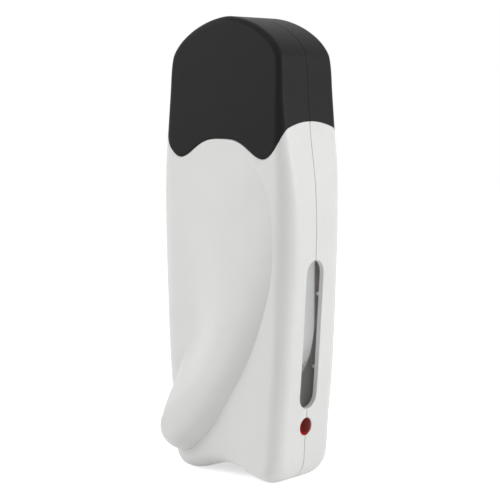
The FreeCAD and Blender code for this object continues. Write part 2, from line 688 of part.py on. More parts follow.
def cradle_screws():
    """Two screws from the rear of the case into the cradle's lugs."""
    screws = []
    start = WELL_Y + 11
    for side in (-1, 1):
        x = side * CRADLE_LUG_X
        shank = rod((x, start, CRADLE_SCREW_Z), Y_AXIS, CRADLE_SCREW_RADIUS, CRADLE_SEAT_Y - start)
        head = rod((x, CRADLE_SEAT_Y, CRADLE_SCREW_Z), Y_AXIS, CRADLE_HEAD_RADIUS, 1.0)
        screws.append(shank.fuse(head))
    return group(screws)


def insulation(front):
    """Sheet of ceramic paper between the chamber and one wall of the case."""
    if front:
        face = WELL_Y - CHAMBER_HALF_DEPTH - 2 * FIT_GAP - SHEET_THICK
    else:
        face = WELL_Y + CHAMBER_HALF_DEPTH + 2 * FIT_GAP
    sheet = box(-SHEET_HALF_WIDTH, SHEET_HALF_WIDTH, face, face + SHEET_THICK, SHEET_BOTTOM, SHEET_TOP)
    edges = [edge for edge in sheet.Edges if abs(edge.Vertexes[0].Y - edge.Vertexes[-1].Y) > SHEET_THICK / 2]
    return sheet.makeFillet(SHEET_CORNER, edges)


def heat_shield():
    """Dark steel plate behind the window, cut away in a curve in front of the chamber."""
    front, rear = CASE_Y - SHIELD_FRONT, CASE_Y + SHIELD_REAR
    plate = box(SHIELD_X, SHIELD_X + SHIELD_THICK, front, rear, SHIELD_BOTTOM, SHIELD_TOP)
    bend = Part.Ellipse(Vector(0, 0, 0), SHIELD_BEND_HEIGHT, SHIELD_BEND_WIDTH)
    bend.Axis = X_AXIS
    bend.XAxis = Z_AXIS
    bend.Center = Vector(SHIELD_X - 1, CASE_Y + SHIELD_EDGE - SHIELD_BEND_WIDTH, SHIELD_BEND_Z)
    cut = Part.Face(Part.Wire(bend.toShape())).extrude(Vector(3, 0, 0))
    above = box(SHIELD_X - 1, SHIELD_X + 2, front - 1, CASE_Y + SHIELD_EDGE, SHIELD_BEND_Z, SHIELD_TOP + 1)
    beside = box(SHIELD_X - 1, SHIELD_X + 2, front - 1, CASE_Y + SHIELD_EDGE - SHIELD_BEND_WIDTH,
                 SHIELD_BEND_Z - SHIELD_BEND_HEIGHT, SHIELD_TOP + 1)
    return plate.cut([cut, above, beside])


def shield_pins():
    """Two spacer pins between the heat shield and the chamber, with small round heads."""
    pins = []
    for from_middle, z, start in SHIELD_PINS:
        y = CASE_Y + from_middle
        stem = rod((start, y, z), X_AXIS, SHIELD_PIN_RADIUS, SHIELD_X + SHIELD_THICK - start)
        head = rod((SHIELD_X + SHIELD_THICK, y, z), X_AXIS, SHIELD_HEAD_RADIUS, SHIELD_HEAD_THICK)
        pins.append(stem.fuse(head))
    return pins


def shield_with_pins():
    """The shield with its holes, and the pins with the chamber's skin taken out of them."""
    pins = shield_pins()
    shield = heat_shield().cut(pins)
    body = chamber_form(CHAMBER_WALL, CHAMBER_TOP)
    return shield, group([pin.cut(body) for pin in pins])


# ---------------------------------------------------------------- heater and its parts
def ptc_heater():
    """Flat heating element against the left side of the chamber."""
    inner_face = -CHAMBER_X - FIT_GAP
    return box(inner_face - HEATER_THICK, inner_face, WELL_Y - HEATER_HALF_DEPTH,
               WELL_Y + HEATER_HALF_DEPTH, HEATER_BOTTOM, HEATER_TOP)


def heater_clamp():
    """Sheet-steel channel that presses the element against the chamber."""
    half_y = HEATER_HALF_DEPTH + 2 * FIT_GAP
    back = -CHAMBER_X - HEATER_THICK - 2 * FIT_GAP
    inner = box(back, -CHAMBER_X + 1, WELL_Y - half_y, WELL_Y + half_y, HEATER_BOTTOM, HEATER_TOP)
    half_y += CLAMP_THICK
    outer = box(back - CLAMP_THICK, -CHAMBER_X - THREAD_GAP, WELL_Y - half_y, WELL_Y + half_y,
                HEATER_BOTTOM + CLAMP_SHORTER, HEATER_TOP - CLAMP_SHORTER)
    return outer.cut(inner)


def thermostat():
    """Round bimetal switch on the side of the chamber, with a blade terminal below and above."""
    disc = rod((-CHAMBER_X - THERMOSTAT_THICK, THERMOSTAT_Y, THERMOSTAT_Z), X_AXIS,
               THERMOSTAT_RADIUS, THERMOSTAT_THICK - FIT_GAP / 2)
    blade = box(BLADE_X - BLADE_THICK / 2, BLADE_X + BLADE_THICK / 2,
                THERMOSTAT_Y - BLADE_HALF_WIDTH, THERMOSTAT_Y + BLADE_HALF_WIDTH,
                THERMOSTAT_Z - BLADE_REACH, THERMOSTAT_Z + BLADE_REACH)
    return disc.fuse(blade)


def thermal_fuse():
    """Small metal can with a lead at each end, beside the thermostat."""
    can = rod((FUSE_X, FUSE_Y, FUSE_CAN_BOTTOM), Z_AXIS, FUSE_CAN_RADIUS, FUSE_CAN_LENGTH)
    ends = rod((FUSE_X, FUSE_Y, FUSE_BOTTOM), Z_AXIS, THIN_WIRE, FUSE_TOP - FUSE_BOTTOM)
    return can.fuse(ends)


# ---------------------------------------------------------------- window and pilot lamp
def window_lens():
    """Clear window that follows the side of the case, with a lip inside the wall."""
    pane = stadium(WINDOW_WIDTH - 2 * FIT_GAP, WINDOW_LENGTH - 2 * FIT_GAP, WINDOW_Z, OPENING_X, FAR)
    pane = pane.common(body_solid(LENS_RECESS)).cut(body_solid(LENS_FACE))
    wider = 2 * LENS_FLANGE
    lip = stadium(WINDOW_WIDTH + wider, WINDOW_LENGTH + wider, WINDOW_Z, OPENING_X, FAR)
    lip = lip.common(body_solid(WALL + FIT_GAP / 2)).cut(body_solid(WALL + LENS_FLANGE_THICK))
    return pane.fuse(lip)


def pilot_lens():
    """Red lamp lens: a round button of clear red plastic with a lip inside the wall."""
    face = body_width(LAMP_Z) + LAMP_STANDS_OUT
    inner_end = (LAMP_INNER_X, PARTING_Y, LAMP_Z)
    ball = Part.makeSphere(LAMP_DOME, Vector(face - LAMP_DOME, PARTING_Y, LAMP_Z))
    stem = rod(inner_end, X_AXIS, LAMP_RADIUS, FAR).common(ball)
    lip = rod(inner_end, X_AXIS, LAMP_RADIUS + LAMP_LIP, LAMP_LIP_THICK)
    bore = rod((OPENING_X, PARTING_Y, LAMP_Z), X_AXIS, LAMP_BORE_RADIUS, LAMP_BORE_END - OPENING_X)
    return stem.fuse(lip).cut(bore)


def neon_lamp():
    """Small glass neon lamp behind the red lens."""
    tube = rod((LAMP_BASE_X, PARTING_Y, LAMP_Z), X_AXIS, NEON_RADIUS, NEON_LENGTH)
    tip = Part.makeSphere(NEON_RADIUS, Vector(LAMP_BASE_X + NEON_LENGTH, PARTING_Y, LAMP_Z))
    return tube.fuse(tip).removeSplitter()


def lamp_holder():
    """Clip that reaches from the rear of the case and holds the neon lamp."""
    clip = box(CLIP_X, CLIP_X + CLIP_THICK, PARTING_Y - CLIP_HALF, REAR_INSIDE - FIT_GAP,
               LAMP_Z - CLIP_HALF, LAMP_Z + CLIP_HALF)
    return clip.cut(rod((LAMP_BASE_X, PARTING_Y, LAMP_Z), X_AXIS, NEON_RADIUS + FIT_GAP / 2, NEON_LENGTH))


def lamp_resistor():
    """Ballast resistor between the terminal block and the neon lamp."""
    y, z = PARTING_Y + 1.2, LAMP_Z + 1.7
    body = rod((RESISTOR_X, y, z), X_AXIS, RESISTOR_RADIUS, RESISTOR_LENGTH)
    ends = rod((BLOCK_HALF_WIDTH, y, z), X_AXIS, THIN_WIRE, LAMP_BASE_X - BLOCK_HALF_WIDTH)
    return body.fuse(ends)


# ---------------------------------------------------------------- power inlet and wires
def power_inlet():
    """Two-pole appliance inlet held between the shells, with its mouth under the arch."""
    block = box(-INLET_HALF_WIDTH, INLET_HALF_WIDTH, PARTING_Y - INLET_HALF_DEPTH,
                PARTING_Y + INLET_HALF_DEPTH, INLET_BOTTOM, INLET_TOP)
    half_x = INLET_HALF_WIDTH + SHOULDER_REACH
    half_y = INLET_HALF_DEPTH + SHOULDER_REACH
    shoulder = box(-half_x, half_x, PARTING_Y - half_y, PARTING_Y + half_y, SHOULDER_BOTTOM, SHOULDER_TOP)
    below = INLET_BOTTOM - 1
    deep = MOUTH_DEPTH + 1
    lobes = [rod((side * PIN_SPACING / 2, PARTING_Y, below), Z_AXIS, LOBE_RADIUS, deep) for side in (-1, 1)]
    waist = box(-PIN_SPACING / 2, PIN_SPACING / 2, PARTING_Y - WAIST_HALF_DEPTH, PARTING_Y + WAIST_HALF_DEPTH,
                below, below + deep)
    return block.fuse(shoulder).cut(lobes + [waist]).cut(inlet_pins())


def inlet_pins():
    """The inlet's two round pins, which pass through its floor to the terminal block."""
    pins = []
    start = INLET_BOTTOM + PIN_RECESS
    for side in (-1, 1):
        pins.append(rod((side * PIN_SPACING / 2, PARTING_Y, start), Z_AXIS, PIN_RADIUS, BLOCK_BOTTOM - start))
    return group(pins)


def lead(points):
    """Insulated wire along straight runs joined by arcs."""
    corners = [Vector(*point) for point in points]
    edges = []
    start = corners[0]
    for before, corner, after in zip(corners, corners[1:], corners[2:]):
        into = (corner - before).normalize()
        out = (after - corner).normalize()
        half_turn = into.getAngle(out) / 2
        setback = LEAD_BEND * math.tan(half_turn)
        arc_start = corner - into * setback
        arc_end = corner + out * setback
        inward = (out - into).normalize()
        middle = corner + inward * (LEAD_BEND / math.cos(half_turn) - LEAD_BEND)
        edges.append(Part.makeLine(start, arc_start))
        edges.append(Part.Arc(arc_start, middle, arc_end).toShape())
        start = arc_end
    edges.append(Part.makeLine(start, corners[-1]))
    path = Part.Wire(edges)
    direction = (corners[1] - corners[0]).normalize()
    section = Part.Wire(Part.makeCircle(WIRE_RADIUS, corners[0], direction))
    return path.makePipeShell([section], True, False)


def terminal_block():
    """Moulded block that joins the inlet's pins to the leads, with two screws in its top."""
    block = box(-BLOCK_HALF_WIDTH, BLOCK_HALF_WIDTH, PARTING_Y - BLOCK_HALF_DEPTH,
                PARTING_Y + BLOCK_HALF_DEPTH, BLOCK_BOTTOM, BLOCK_TOP)
    floor = BLOCK_TOP - BLOCK_WELL
    wells = [rod((side * PIN_SPACING / 2, PARTING_Y, floor), Z_AXIS, TERMINAL_RADIUS + FIT_GAP, BLOCK_WELL + 1)
             for side in (-1, 1)]
    return block.cut(wells)


def terminal_screws():
    """Two slotted screws that stand in the terminal block."""
    screws = []
    floor = BLOCK_TOP - BLOCK_WELL
    top = floor + TERMINAL_HEIGHT
    for side in (-1, 1):
        x = side * PIN_SPACING / 2
        screw = rod((x, PARTING_Y, floor), Z_AXIS, TERMINAL_RADIUS, TERMINAL_HEIGHT)
        slot = box(x - 2 * TERMINAL_RADIUS, x + 2 * TERMINAL_RADIUS, PARTING_Y - SLOT_HALF, PARTING_Y + SLOT_HALF,
                   top - SLOT_DEPTH, top + 1)
        screws.append(screw.cut(slot))
    return group(screws)


def wires():
    """The internal leads by name."""
    middle_z = (BLOCK_BOTTOM + BLOCK_TOP) / 2
    live_y = PARTING_Y + LEAD_SPACING / 2
    neutral_y = PARTING_Y - LEAD_SPACING / 2
    blade_bottom = THERMOSTAT_Z - BLADE_REACH
    return {
        "live_lead": lead([(-BLOCK_HALF_WIDTH, live_y, middle_z), (LEAD_TURN_X, live_y, middle_z),
                           (FUSE_X, FUSE_Y, LEAD_TURN_Z), (FUSE_X, FUSE_Y, FUSE_BOTTOM)]),
        "neutral_lead": lead([(-BLOCK_HALF_WIDTH, neutral_y, middle_z), (LEAD_TURN_X, neutral_y, middle_z),
                              (BLADE_X, THERMOSTAT_Y, LEAD_TURN_Z), (BLADE_X, THERMOSTAT_Y, blade_bottom)]),
        "fuse_lead": rod((FUSE_X, FUSE_Y, FUSE_TOP), Z_AXIS, WIRE_RADIUS, HEATER_BOTTOM - FUSE_TOP),
        "thermostat_lead": rod((BLADE_X, THERMOSTAT_Y, THERMOSTAT_Z + BLADE_REACH), Z_AXIS, WIRE_RADIUS,
                               HEATER_BOTTOM - THERMOSTAT_Z - BLADE_REACH),
        "lamp_lead": rod((BLOCK_HALF_WIDTH, PARTING_Y - 1.2, LAMP_Z + 1.1), X_AXIS, THIN_WIRE,
                         LAMP_BASE_X - BLOCK_HALF_WIDTH),
    }


# ---------------------------------------------------------------- build
def build():
    outer = body_solid(0)
    inner = body_solid(WALL)
    lap = body_solid(WALL / 2)
    shield, pins = shield_with_pins()
    parts = {
        "cap": cap(),
        "front_shell": front_shell(outer, inner, lap),
        "rear_shell": rear_shell(outer, inner, body_solid(WALL / 2 + FIT_GAP)),
        "case_screws": case_screws(),
        "well_collar": well_collar(),
        "heating_chamber": heating_chamber(),
        "chamber_cradle": chamber_cradle(),
        "cradle_screws": cradle_screws(),
        "front_insulation": insulation(True),
        "rear_insulation": insulation(False),
        "heat_shield": shield,
        "shield_pins": pins,
        "ptc_heater": ptc_heater(),
        "heater_clamp": heater_clamp(),
        "thermostat": thermostat(),
        "thermal_fuse": thermal_fuse(),
        "window_lens": window_lens(),
        "pilot_lens": pilot_lens(),
        "neon_lamp": neon_lamp(),
        "lamp_holder": lamp_holder(),
        "lamp_resistor": lamp_resistor(),
        "power_inlet": power_inlet(),
        "inlet_pins": inlet_pins(),
        "terminal_block": terminal_block(),
        "terminal_screws": terminal_screws(),
    }
    parts.update(wires())
    return parts


for name, shape in build().items():
    print(name, "solids", len(shape.Solids), "valid", shape.isValid(), "volume", round(shape.Volume, 1))
    shape.exportStep("parts/" + name + ".step")
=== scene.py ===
# %% [markdown]
# # A roll-on wax heater
# This hand-held heater warms a wax cartridge that is rolled over the skin. A white case in two shells
# holds the heated well, a black cap covers its mouth, and a raised grip sweeps down the front.
# A clear window in the side shows how much wax is left, and a red lamp below it shows that it is on.
# The engineering model comes first, as a fixed frame. Every surface below is made around it.

# %% Load the frame
import json
import math

import bmesh
import bpy
import numpy as np
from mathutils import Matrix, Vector


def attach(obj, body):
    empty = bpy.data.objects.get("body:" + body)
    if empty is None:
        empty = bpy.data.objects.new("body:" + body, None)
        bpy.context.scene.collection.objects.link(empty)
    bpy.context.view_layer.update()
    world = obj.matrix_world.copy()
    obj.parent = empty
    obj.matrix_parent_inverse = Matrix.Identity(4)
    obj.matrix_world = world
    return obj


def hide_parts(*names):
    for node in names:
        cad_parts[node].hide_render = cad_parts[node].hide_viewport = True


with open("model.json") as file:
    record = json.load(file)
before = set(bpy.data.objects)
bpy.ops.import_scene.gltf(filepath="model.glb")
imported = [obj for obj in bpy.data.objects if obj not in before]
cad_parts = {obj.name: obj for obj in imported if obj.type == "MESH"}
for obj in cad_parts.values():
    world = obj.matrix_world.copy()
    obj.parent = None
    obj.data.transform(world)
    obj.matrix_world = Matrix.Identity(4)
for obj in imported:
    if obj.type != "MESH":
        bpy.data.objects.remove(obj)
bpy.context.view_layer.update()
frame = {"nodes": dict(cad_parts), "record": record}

# %% [markdown]
# ## The camera
# A long lens from a little above, looking at the corner between the front and the window side, keeps
# the upright edges nearly parallel. The camera could be set by hand in the viewport. Here its place
# follows from two angles and a distance, which are easy to read and to change. It is made first, so that
# all that follows can be judged through it. Sizes in this file are in millimetres, unless a comment says
# otherwise, and one factor turns them into metres.

# %% Camera
MM = 0.001
CASE_Y = 4.77
LENS, SENSOR = 106.5, 36.0
AZIMUTH = math.radians(40.63)
TILT = math.radians(5.98)
DISTANCE = 701.8
AIM = np.array([-0.6, CASE_Y - 0.15, 105.84])

forward = Vector((-math.sin(AZIMUTH) * math.cos(TILT), math.cos(AZIMUTH) * math.cos(TILT), -math.sin(TILT)))
camera = bpy.data.objects.new("camera", bpy.data.cameras.new("camera"))
bpy.context.scene.collection.objects.link(camera)
camera.data.lens = LENS
camera.data.sensor_width = SENSOR
camera.location = (Vector(AIM) - forward * DISTANCE) * MM
camera.rotation_euler = forward.to_track_quat("-Z", "Y").to_euler()
bpy.context.scene.camera = camera
print("camera at", [round(value, 3) for value in camera.location])

# %% [markdown]
# ## Nodes and colours
# Each finish is a small tree of shader nodes. Such a tree could be wired in the shader editor. As code
# it stays short, because one function adds a node, sets it up and links it, and another turns the hex
# colours that a designer would write into the linear values that light needs.

# %% Helpers for materials
def add(tree, kind, inputs=None, **settings):
    """Adds a node with its settings. Each input is a value, or an output to link to it."""
    node = tree.nodes.new(kind)
    for name, value in settings.items():
        setattr(node, name, value)
    for name, value in (inputs or {}).items():
        if isinstance(value, bpy.types.NodeSocket):
            tree.links.new(value, node.inputs[name])
        else:
            node.inputs[name].default_value = value
    return node


def colour(hex_code):
    """An sRGB hex colour as linear red, green, blue and an alpha of 1."""
    shown = np.array([int(hex_code[at:at + 2], 16) for at in (1, 3, 5)]) / 255
    linear = np.where(shown <= 0.04045, shown / 12.92, ((shown + 0.055) / 1.055) ** 2.4)
    return (*linear.tolist(), 1.0)


def start_material(name, sockets=None):
    """A material, its tree and its surface shader, whose constant values are those of the sockets."""
    material = bpy.data.materials.new(name)
    material.use_nodes = True
    tree = material.node_tree
    tree.nodes.clear()
    surface = add(tree, "ShaderNodeBsdfPrincipled", sockets)
    add(tree, "ShaderNodeOutputMaterial", {"Surface": surface.outputs["BSDF"]})
    return material, tree, surface


def grain(tree, size_mm, stretch=(1, 1, 1), detail=3.0):
    """Noise in the object's own coordinates, whose blotches are about size_mm across."""
    place = add(tree, "ShaderNodeTexCoord").outputs["Object"]
    place = add(tree, "ShaderNodeMapping", {"Vector": place, "Scale": stretch}).outputs["Vector"]
    return add(tree, "ShaderNodeTexNoise", {"Vector": place, "Scale": 1 / (size_mm * MM), "Detail": detail})


def spread(tree, noise, low, high):
    """Turns noise from 0.3 to 0.7, where most of it lies, into a value from low to high."""
    scaled = add(tree, "ShaderNodeMapRange", {"Value": noise.outputs["Fac"], "From Min": 0.3, "From Max": 0.7,
                                              "To Min": low, "To Max": high})
    return scaled.outputs["Result"]


def blend_colours(tree, noise, first, second):
    """Mixes two hex colours by the noise."""
    amount = spread(tree, noise, 0.0, 1.0)
    mixed = add(tree, "ShaderNodeMix", {"Factor": amount}, data_type="RGBA")
    mixed.inputs["A"].default_value = colour(first)
    mixed.inputs["B"].default_value = colour(second)
    return mixed.outputs["Result"]


print("mid grey in linear light:", [round(value, 3) for value in colour("#808080")])

# %% [markdown]
# Two kinds of surface come back again and again in an appliance: plastic from a mould, and metal that was
# drawn or rolled. Both need the same three things, a shade that is never quite even, a roughness that
# varies with the texture, and a little relief. So each kind is one function with a few real sizes. Bump
# nodes carry the relief, because it is far too fine to be worth any geometry.

# %% Two kinds of surface
CLOUD_MM = 14.0             # size of the blotches in a moulding's shade
LINE_DEPTH = 0.01           # depth of a drawn line


def moulded(name, first, second, rough, texture_mm, depth_mm, sockets=None):
    """A moulded plastic: two close shades, a texture left by the mould, and its range of roughness."""
    material, tree, surface = start_material(name, sockets)
    cloud = grain(tree, CLOUD_MM)
    texture = grain(tree, texture_mm)
    tree.links.new(blend_colours(tree, cloud, first, second), surface.inputs["Base Color"])
    tree.links.new(spread(tree, texture, *rough), surface.inputs["Roughness"])
    bump = add(tree, "ShaderNodeBump", {"Height": texture.outputs["Fac"], "Distance": depth_mm * MM,
                                        "Strength": 0.5})
    tree.links.new(bump.outputs["Normal"], surface.inputs["Normal"])
    return material


def drawn_metal(name, first, second, rough, line_mm, stretch, sockets=None):
    """A drawn or brushed metal: fine lines, long one way, that shift its shade and its roughness."""
    material, tree, surface = start_material(name, {"Metallic": 1.0, **(sockets or {})})
    lines = grain(tree, line_mm, stretch)
    tree.links.new(blend_colours(tree, lines, first, second), surface.inputs["Base Color"])
    tree.links.new(spread(tree, lines, *rough), surface.inputs["Roughness"])
    bump = add(tree, "ShaderNodeBump", {"Height": lines.outputs["Fac"], "Distance": LINE_DEPTH * MM,
                                        "Strength": 0.4})
    tree.links.new(bump.outputs["Normal"], surface.inputs["Normal"])
    return material


print("helpers ready: plastic with blotches of", CLOUD_MM, "mm, metal with lines", LINE_DEPTH, "mm deep")

# %% [markdown]
# ## Plastics, ceramics and sleeves
# The case is ABS, the plastic of most small appliances: its mould was lightly spark-textured, which
# gives a satin look with soft highlights. The cap is the same plastic in black. What touches the hot
# well is PBT or phenolic, which stand the heat. A plain grey shader would do for the inside, but the
# pieces show when the cap is off, so each has the shade and polish of what it is made of.

# %% Plastics, ceramics and sleeves
def white_abs():
    """White ABS, a little warm; the mould's texture is drawn at 0.6 mm, coarser than the real 0.05 mm."""
    return moulded("white_abs", "#E3E3E1", "#E1E1DF", (0.40, 0.48), 0.6, 0.004, {"Specular IOR Level": 0.4})


def black_abs():
    """Black ABS: not quite black, because its texture scatters some light."""
    return moulded("black_abs", "#1C1C1C", "#1A1A1A", (0.42, 0.52), 0.6, 0.006, {"Specular IOR Level": 0.1})


def white_pbt():
    """PBT, a heat-resistant plastic, matt and slightly cream."""
    return moulded("white_pbt", "#DEDBD2", "#D8D5CC", (0.55, 0.68), 0.8, 0.01)


def black_pbt():
    """Black PBT of the mains inlet, matt."""
    return moulded("black_pbt", "#1E1E20", "#252527", (0.5, 0.65), 0.5, 0.01)


def phenolic():
    """Phenolic, the brown-black plastic of thermostats, with a faint mottle."""
    return moulded("phenolic", "#35261E", "#42301F", (0.4, 0.55), 0.7, 0.01)


def ptc_ceramic():
    """Pressed ceramic in a brownish foil sleeve."""
    return moulded("ptc_ceramic", "#A3947E", "#8E806C", (0.3, 0.5), 1.2, 0.02)


def resistor_body():
    """Painted ceramic of a resistor, glossy beige."""
    return moulded("resistor_body", "#C9B48A", "#BFA97E", (0.25, 0.35), 0.6, 0.005)


def ceramic_paper():
    """Ceramic-fibre paper: soft, white and quite rough, with felted blotches of about 1.5 mm."""
    return moulded("ceramic_paper", "#EDEBE4", "#DDDAD1", (0.85, 0.97), 1.5, 0.12, {"Sheen Weight": 0.3})


def wire_skin(name, first, second):
    """Silicone insulation of a lead: satin, slightly uneven in shade."""
    return moulded(name, first, second, (0.4, 0.5), 0.9, 0.01)


def sleeved_wire():
    """Woven glass sleeve: cream, with the mottle of fine threads about 0.5 mm across."""
    return moulded("sleeved_wire", "#DAD4C2", "#C4BCA6", (0.7, 0.85), 0.5, 0.06)


finishes = {make.__name__: make() for make in (white_abs, black_abs, white_pbt, black_pbt, phenolic,
                                               ptc_ceramic, resistor_body, ceramic_paper, sleeved_wire)}
print(len(finishes), "finishes of plastic, ceramic and sleeve")

# %% [markdown]
# ## Metals
# The well is a drawn aluminium cup and the plate behind the window a strip of rolled steel. Drawing and
# rolling leave fine lines one way. Anisotropic shading could imitate them, but stretched noise shows them
# as lines, from near and from far, and works the same in every renderer. The steel keeps its full
# metallic value. The anodised cup scatters light like a white paint, so its value is low.

# %% Metals
PAINTED_GLOW = 0.33                 # share of white of the painted glow on the well, low down
PAINTED_GLOW_FADES = (105.0, 140.0)  # it fades out between these heights


def drawn_aluminium():
    """Aluminium of the heated well: drawn, with upright die lines 0.3 mm apart, then etched and anodised,
    so that it is pale and mostly scatters light. A painted glow, a white emission low down, makes it
    brighter than the lamps alone would. It fades out below the black cap's skirt."""
    # the emission colour is that of the painted glow
    material = drawn_metal("drawn_aluminium", "#D2D3D3", "#C8C9C9", (0.4, 0.55), 0.3, (1, 1, 0.03),
                           {"Metallic": 0.1, "Emission Color": colour("#F3F3F5")})
    tree = material.node_tree
    surface = tree.nodes["Principled BSDF"]
    place = add(tree, "ShaderNodeTexCoord").outputs["Object"]
    height = add(tree, "ShaderNodeSeparateXYZ", {"Vector": place}).outputs["Z"]
    # painted glow: its strength fades with height, from full low down to none at the cap's skirt
    glow = add(tree, "ShaderNodeMapRange", {"Value": height, "From Min": PAINTED_GLOW_FADES[0] * MM,
                                            "From Max": PAINTED_GLOW_FADES[1] * MM, "To Min": PAINTED_GLOW, "To Max": 0.0})
    tree.links.new(glow.outputs["Result"], surface.inputs["Emission Strength"])
    return material


def dark_steel():
    """Brushed steel plate, brown-grey from heat, with lines 0.35 mm apart along its length."""
    return drawn_metal("dark_steel", "#7A6A5C", "#4E443B", (0.30, 0.5), 0.35, (1, 1, 0.04))


def spring_steel():
    """Rolled spring steel, plain grey and quite smooth."""
    return drawn_metal("spring_steel", "#A9A9A8", "#969696", (0.25, 0.4), 0.4, (1, 0.05, 1))


def zinc_steel():
    """Screws with a bright zinc coat, faintly cloudy."""
    return drawn_metal("zinc_steel", "#C9C9C4", "#B3B3AD", (0.2, 0.35), 0.8, (1, 1, 1))


def bright_pin():
    """Turned aluminium, bright and nearly white, with domed heads."""
    return drawn_metal("bright_pin", "#FAFAFC", "#F2F2F4", (0.3, 0.4), 0.2, (0.1, 1, 1), {"Metallic": 0.1})


def nickel_brass():
    """Nickel-plated brass pins: warm grey and shiny."""
    return drawn_metal("nickel_brass", "#D6D2C6", "#C6C2B6", (0.12, 0.22), 0.5, (1, 1, 0.1))


def fuse_can():
    """Drawn brass can of the thermal fuse."""
    return drawn_metal("fuse_can", "#CDB26A", "#BDA25C", (0.2, 0.35), 0.5, (1, 1, 0.1))


finishes |= {make.__name__: make() for make in (drawn_aluminium, dark_steel, spring_steel, zinc_steel,
                                                bright_pin, nickel_brass, fuse_can)}
print(len(finishes), "finishes with the metals")

# %% [markdown]
# ## Clear parts
# The window is clear polycarbonate, the little lamp is glass, and the pilot lens is red acrylic. Glass
# that bends light needs full transmission and a true index. A thin flat pane bends it so little that a
# nearly transparent skin looks the same, renders faster, and lets the light in to what is behind it.

# %% Clear parts
PARTING_Y = CASE_Y - 1.0    # where the two shells meet, and the middle of the lens
LAMP_Z = 25.9
FLOW_MM = 6.0               # width of the flow marks in a clear moulding


def clear_material(name, rough, sockets):
    """A clear solid: faint upright flow marks from its moulding change its polish."""
    material, tree, surface = start_material(name, sockets)
    flow = grain(tree, FLOW_MM, (1, 1, 0.3))
    tree.links.new(spread(tree, flow, *rough), surface.inputs["Roughness"])
    return material


def clear_polycarbonate():
    """Polycarbonate window, index 1.58. It is so thin that it hardly bends light, so it is drawn as a
    glossy skin that lets most light straight through, which also lights what is behind it."""
    return clear_material("clear_polycarbonate", (0.03, 0.08), {
        "Base Color": colour("#F4F5F6"), "IOR": 1.58, "Specular IOR Level": 0.8, "Alpha": 0.06})


def lamp_glass():
    """Thin glass of the neon lamp."""
    return clear_material("lamp_glass", (0.01, 0.03), {
        "Base Color": colour("#FBF4EE"), "Transmission Weight": 1.0, "IOR": 1.5})


def red_acrylic():
    """Red acrylic of the pilot lens, with painted light and shade in its colour: a painted shade darkens
    its middle, and a painted highlight brightens the rim round it. The middle sits 0.5 mm high, so the
    painted highlight is brightest below it."""
    material, tree, surface = start_material("red_acrylic", {
        "Transmission Weight": 0.02, "IOR": 1.49, "Specular IOR Level": 0.05})
    # painted shade in the lens's middle, blending out into a painted highlight at its rim
    painted_shade_y, painted_shade_z, painted_shade_radius, painted_highlight_radius = PARTING_Y * MM, (LAMP_Z + 0.5) * MM, 3.0 * MM, 4.6 * MM
    place = add(tree, "ShaderNodeTexCoord").outputs["Object"]
    place = add(tree, "ShaderNodeMapping", {"Vector": place, "Location": (0, -painted_shade_y, -painted_shade_z),
                                            "Scale": (0, 1, 1)}).outputs["Vector"]
    radius = add(tree, "ShaderNodeVectorMath", {0: place}, operation="LENGTH").outputs["Value"]
    rim = add(tree, "ShaderNodeMapRange", {"Value": radius, "From Min": painted_shade_radius,
                                           "From Max": painted_highlight_radius})
    shade = add(tree, "ShaderNodeMix", {"Factor": rim.outputs["Result"]}, data_type="RGBA")
    # the painted shade's colour, then the painted highlight's
    shade.inputs["A"].default_value = colour("#5A0F08")
    shade.inputs["B"].default_value = colour("#B8160F")
    tree.links.new(shade.outputs["Result"], surface.inputs["Base Color"])
    tree.links.new(spread(tree, grain(tree, 2.5), 0.12, 0.2), surface.inputs["Roughness"])
    return material


finishes |= {make.__name__: make() for make in (clear_polycarbonate, lamp_glass, red_acrylic)}
print(len(finishes), "finishes with the clear parts")

# %% [markdown]
# ## Finishes on the nodes
# Last come the two colours of silicone wire. Each node of the engineering model names its finish in the
# record. They could be set one by one, but a loop gives every node its material, and the pieces made
# below ask for theirs by the same names.

# %% Finishes on the nodes
finishes.update(live_wire=wire_skin("live_wire", "#6B3E24", "#5C341D"),
                neutral_wire=wire_skin("neutral_wire", "#2A4B86", "#234078"))
slot_of = {part["node"]: part["material_slot"] for part in frame["record"]["subparts"]}
for node, thing in frame["nodes"].items():
    for place in thing.material_slots:
        place.material = finishes[slot_of[node]]
print(len(finishes), "finishes on", len(slot_of), "nodes")

# %% [markdown]
# ## Smooth curves and grids
# A shape here is a table of points in rows and columns, worked out at once with numpy. Smooth lines
# come from a natural cubic spline, which bends as little as it can on its way through its points.
# Blender's own curve objects could draw them too. A spline of our own can be read at any place, and so
# also gives the distances and directions that a wall or a rounded edge needs.

# %% Splines
def spline(knots, values):
    """Natural cubic spline through values at the knots: a function that reads it anywhere.

    Between two knots it is a cubic, and its slope and bend match at each knot. The bends come from one
    set of linear equations, and the bend at both ends is zero."""
    knots = np.asarray(knots, float)
    values = np.asarray(values, float).reshape(len(knots), -1)
    gap = np.diff(knots)
    slope = np.diff(values, axis=0) / gap[:, None]
    inner = np.arange(1, len(knots) - 1)
    matrix = np.eye(len(knots))
    matrix[inner, inner - 1] = gap[:-1]
    matrix[inner, inner] = 2 * (gap[:-1] + gap[1:])
    matrix[inner, inner + 1] = gap[1:]
    bends = np.zeros_like(values)
    bends[1:-1] = 6 * np.diff(slope, axis=0)
    bends = np.linalg.solve(matrix, bends)

    def read(at):
        at = np.clip(np.asarray(at, float), knots[0], knots[-1])
        low = np.clip(np.searchsorted(knots, at) - 1, 0, len(gap) - 1)
        width = gap[low][..., None]
        ahead = (at - knots[low])[..., None] / width
        behind = 1 - ahead
        bent = (behind ** 3 - behind) * bends[low] + (ahead ** 3 - ahead) * bends[low + 1]
        result = behind * values[low] + ahead * values[low + 1] + bent * width ** 2 / 6
        return result[..., 0] if values.shape[1] == 1 else result

    return read


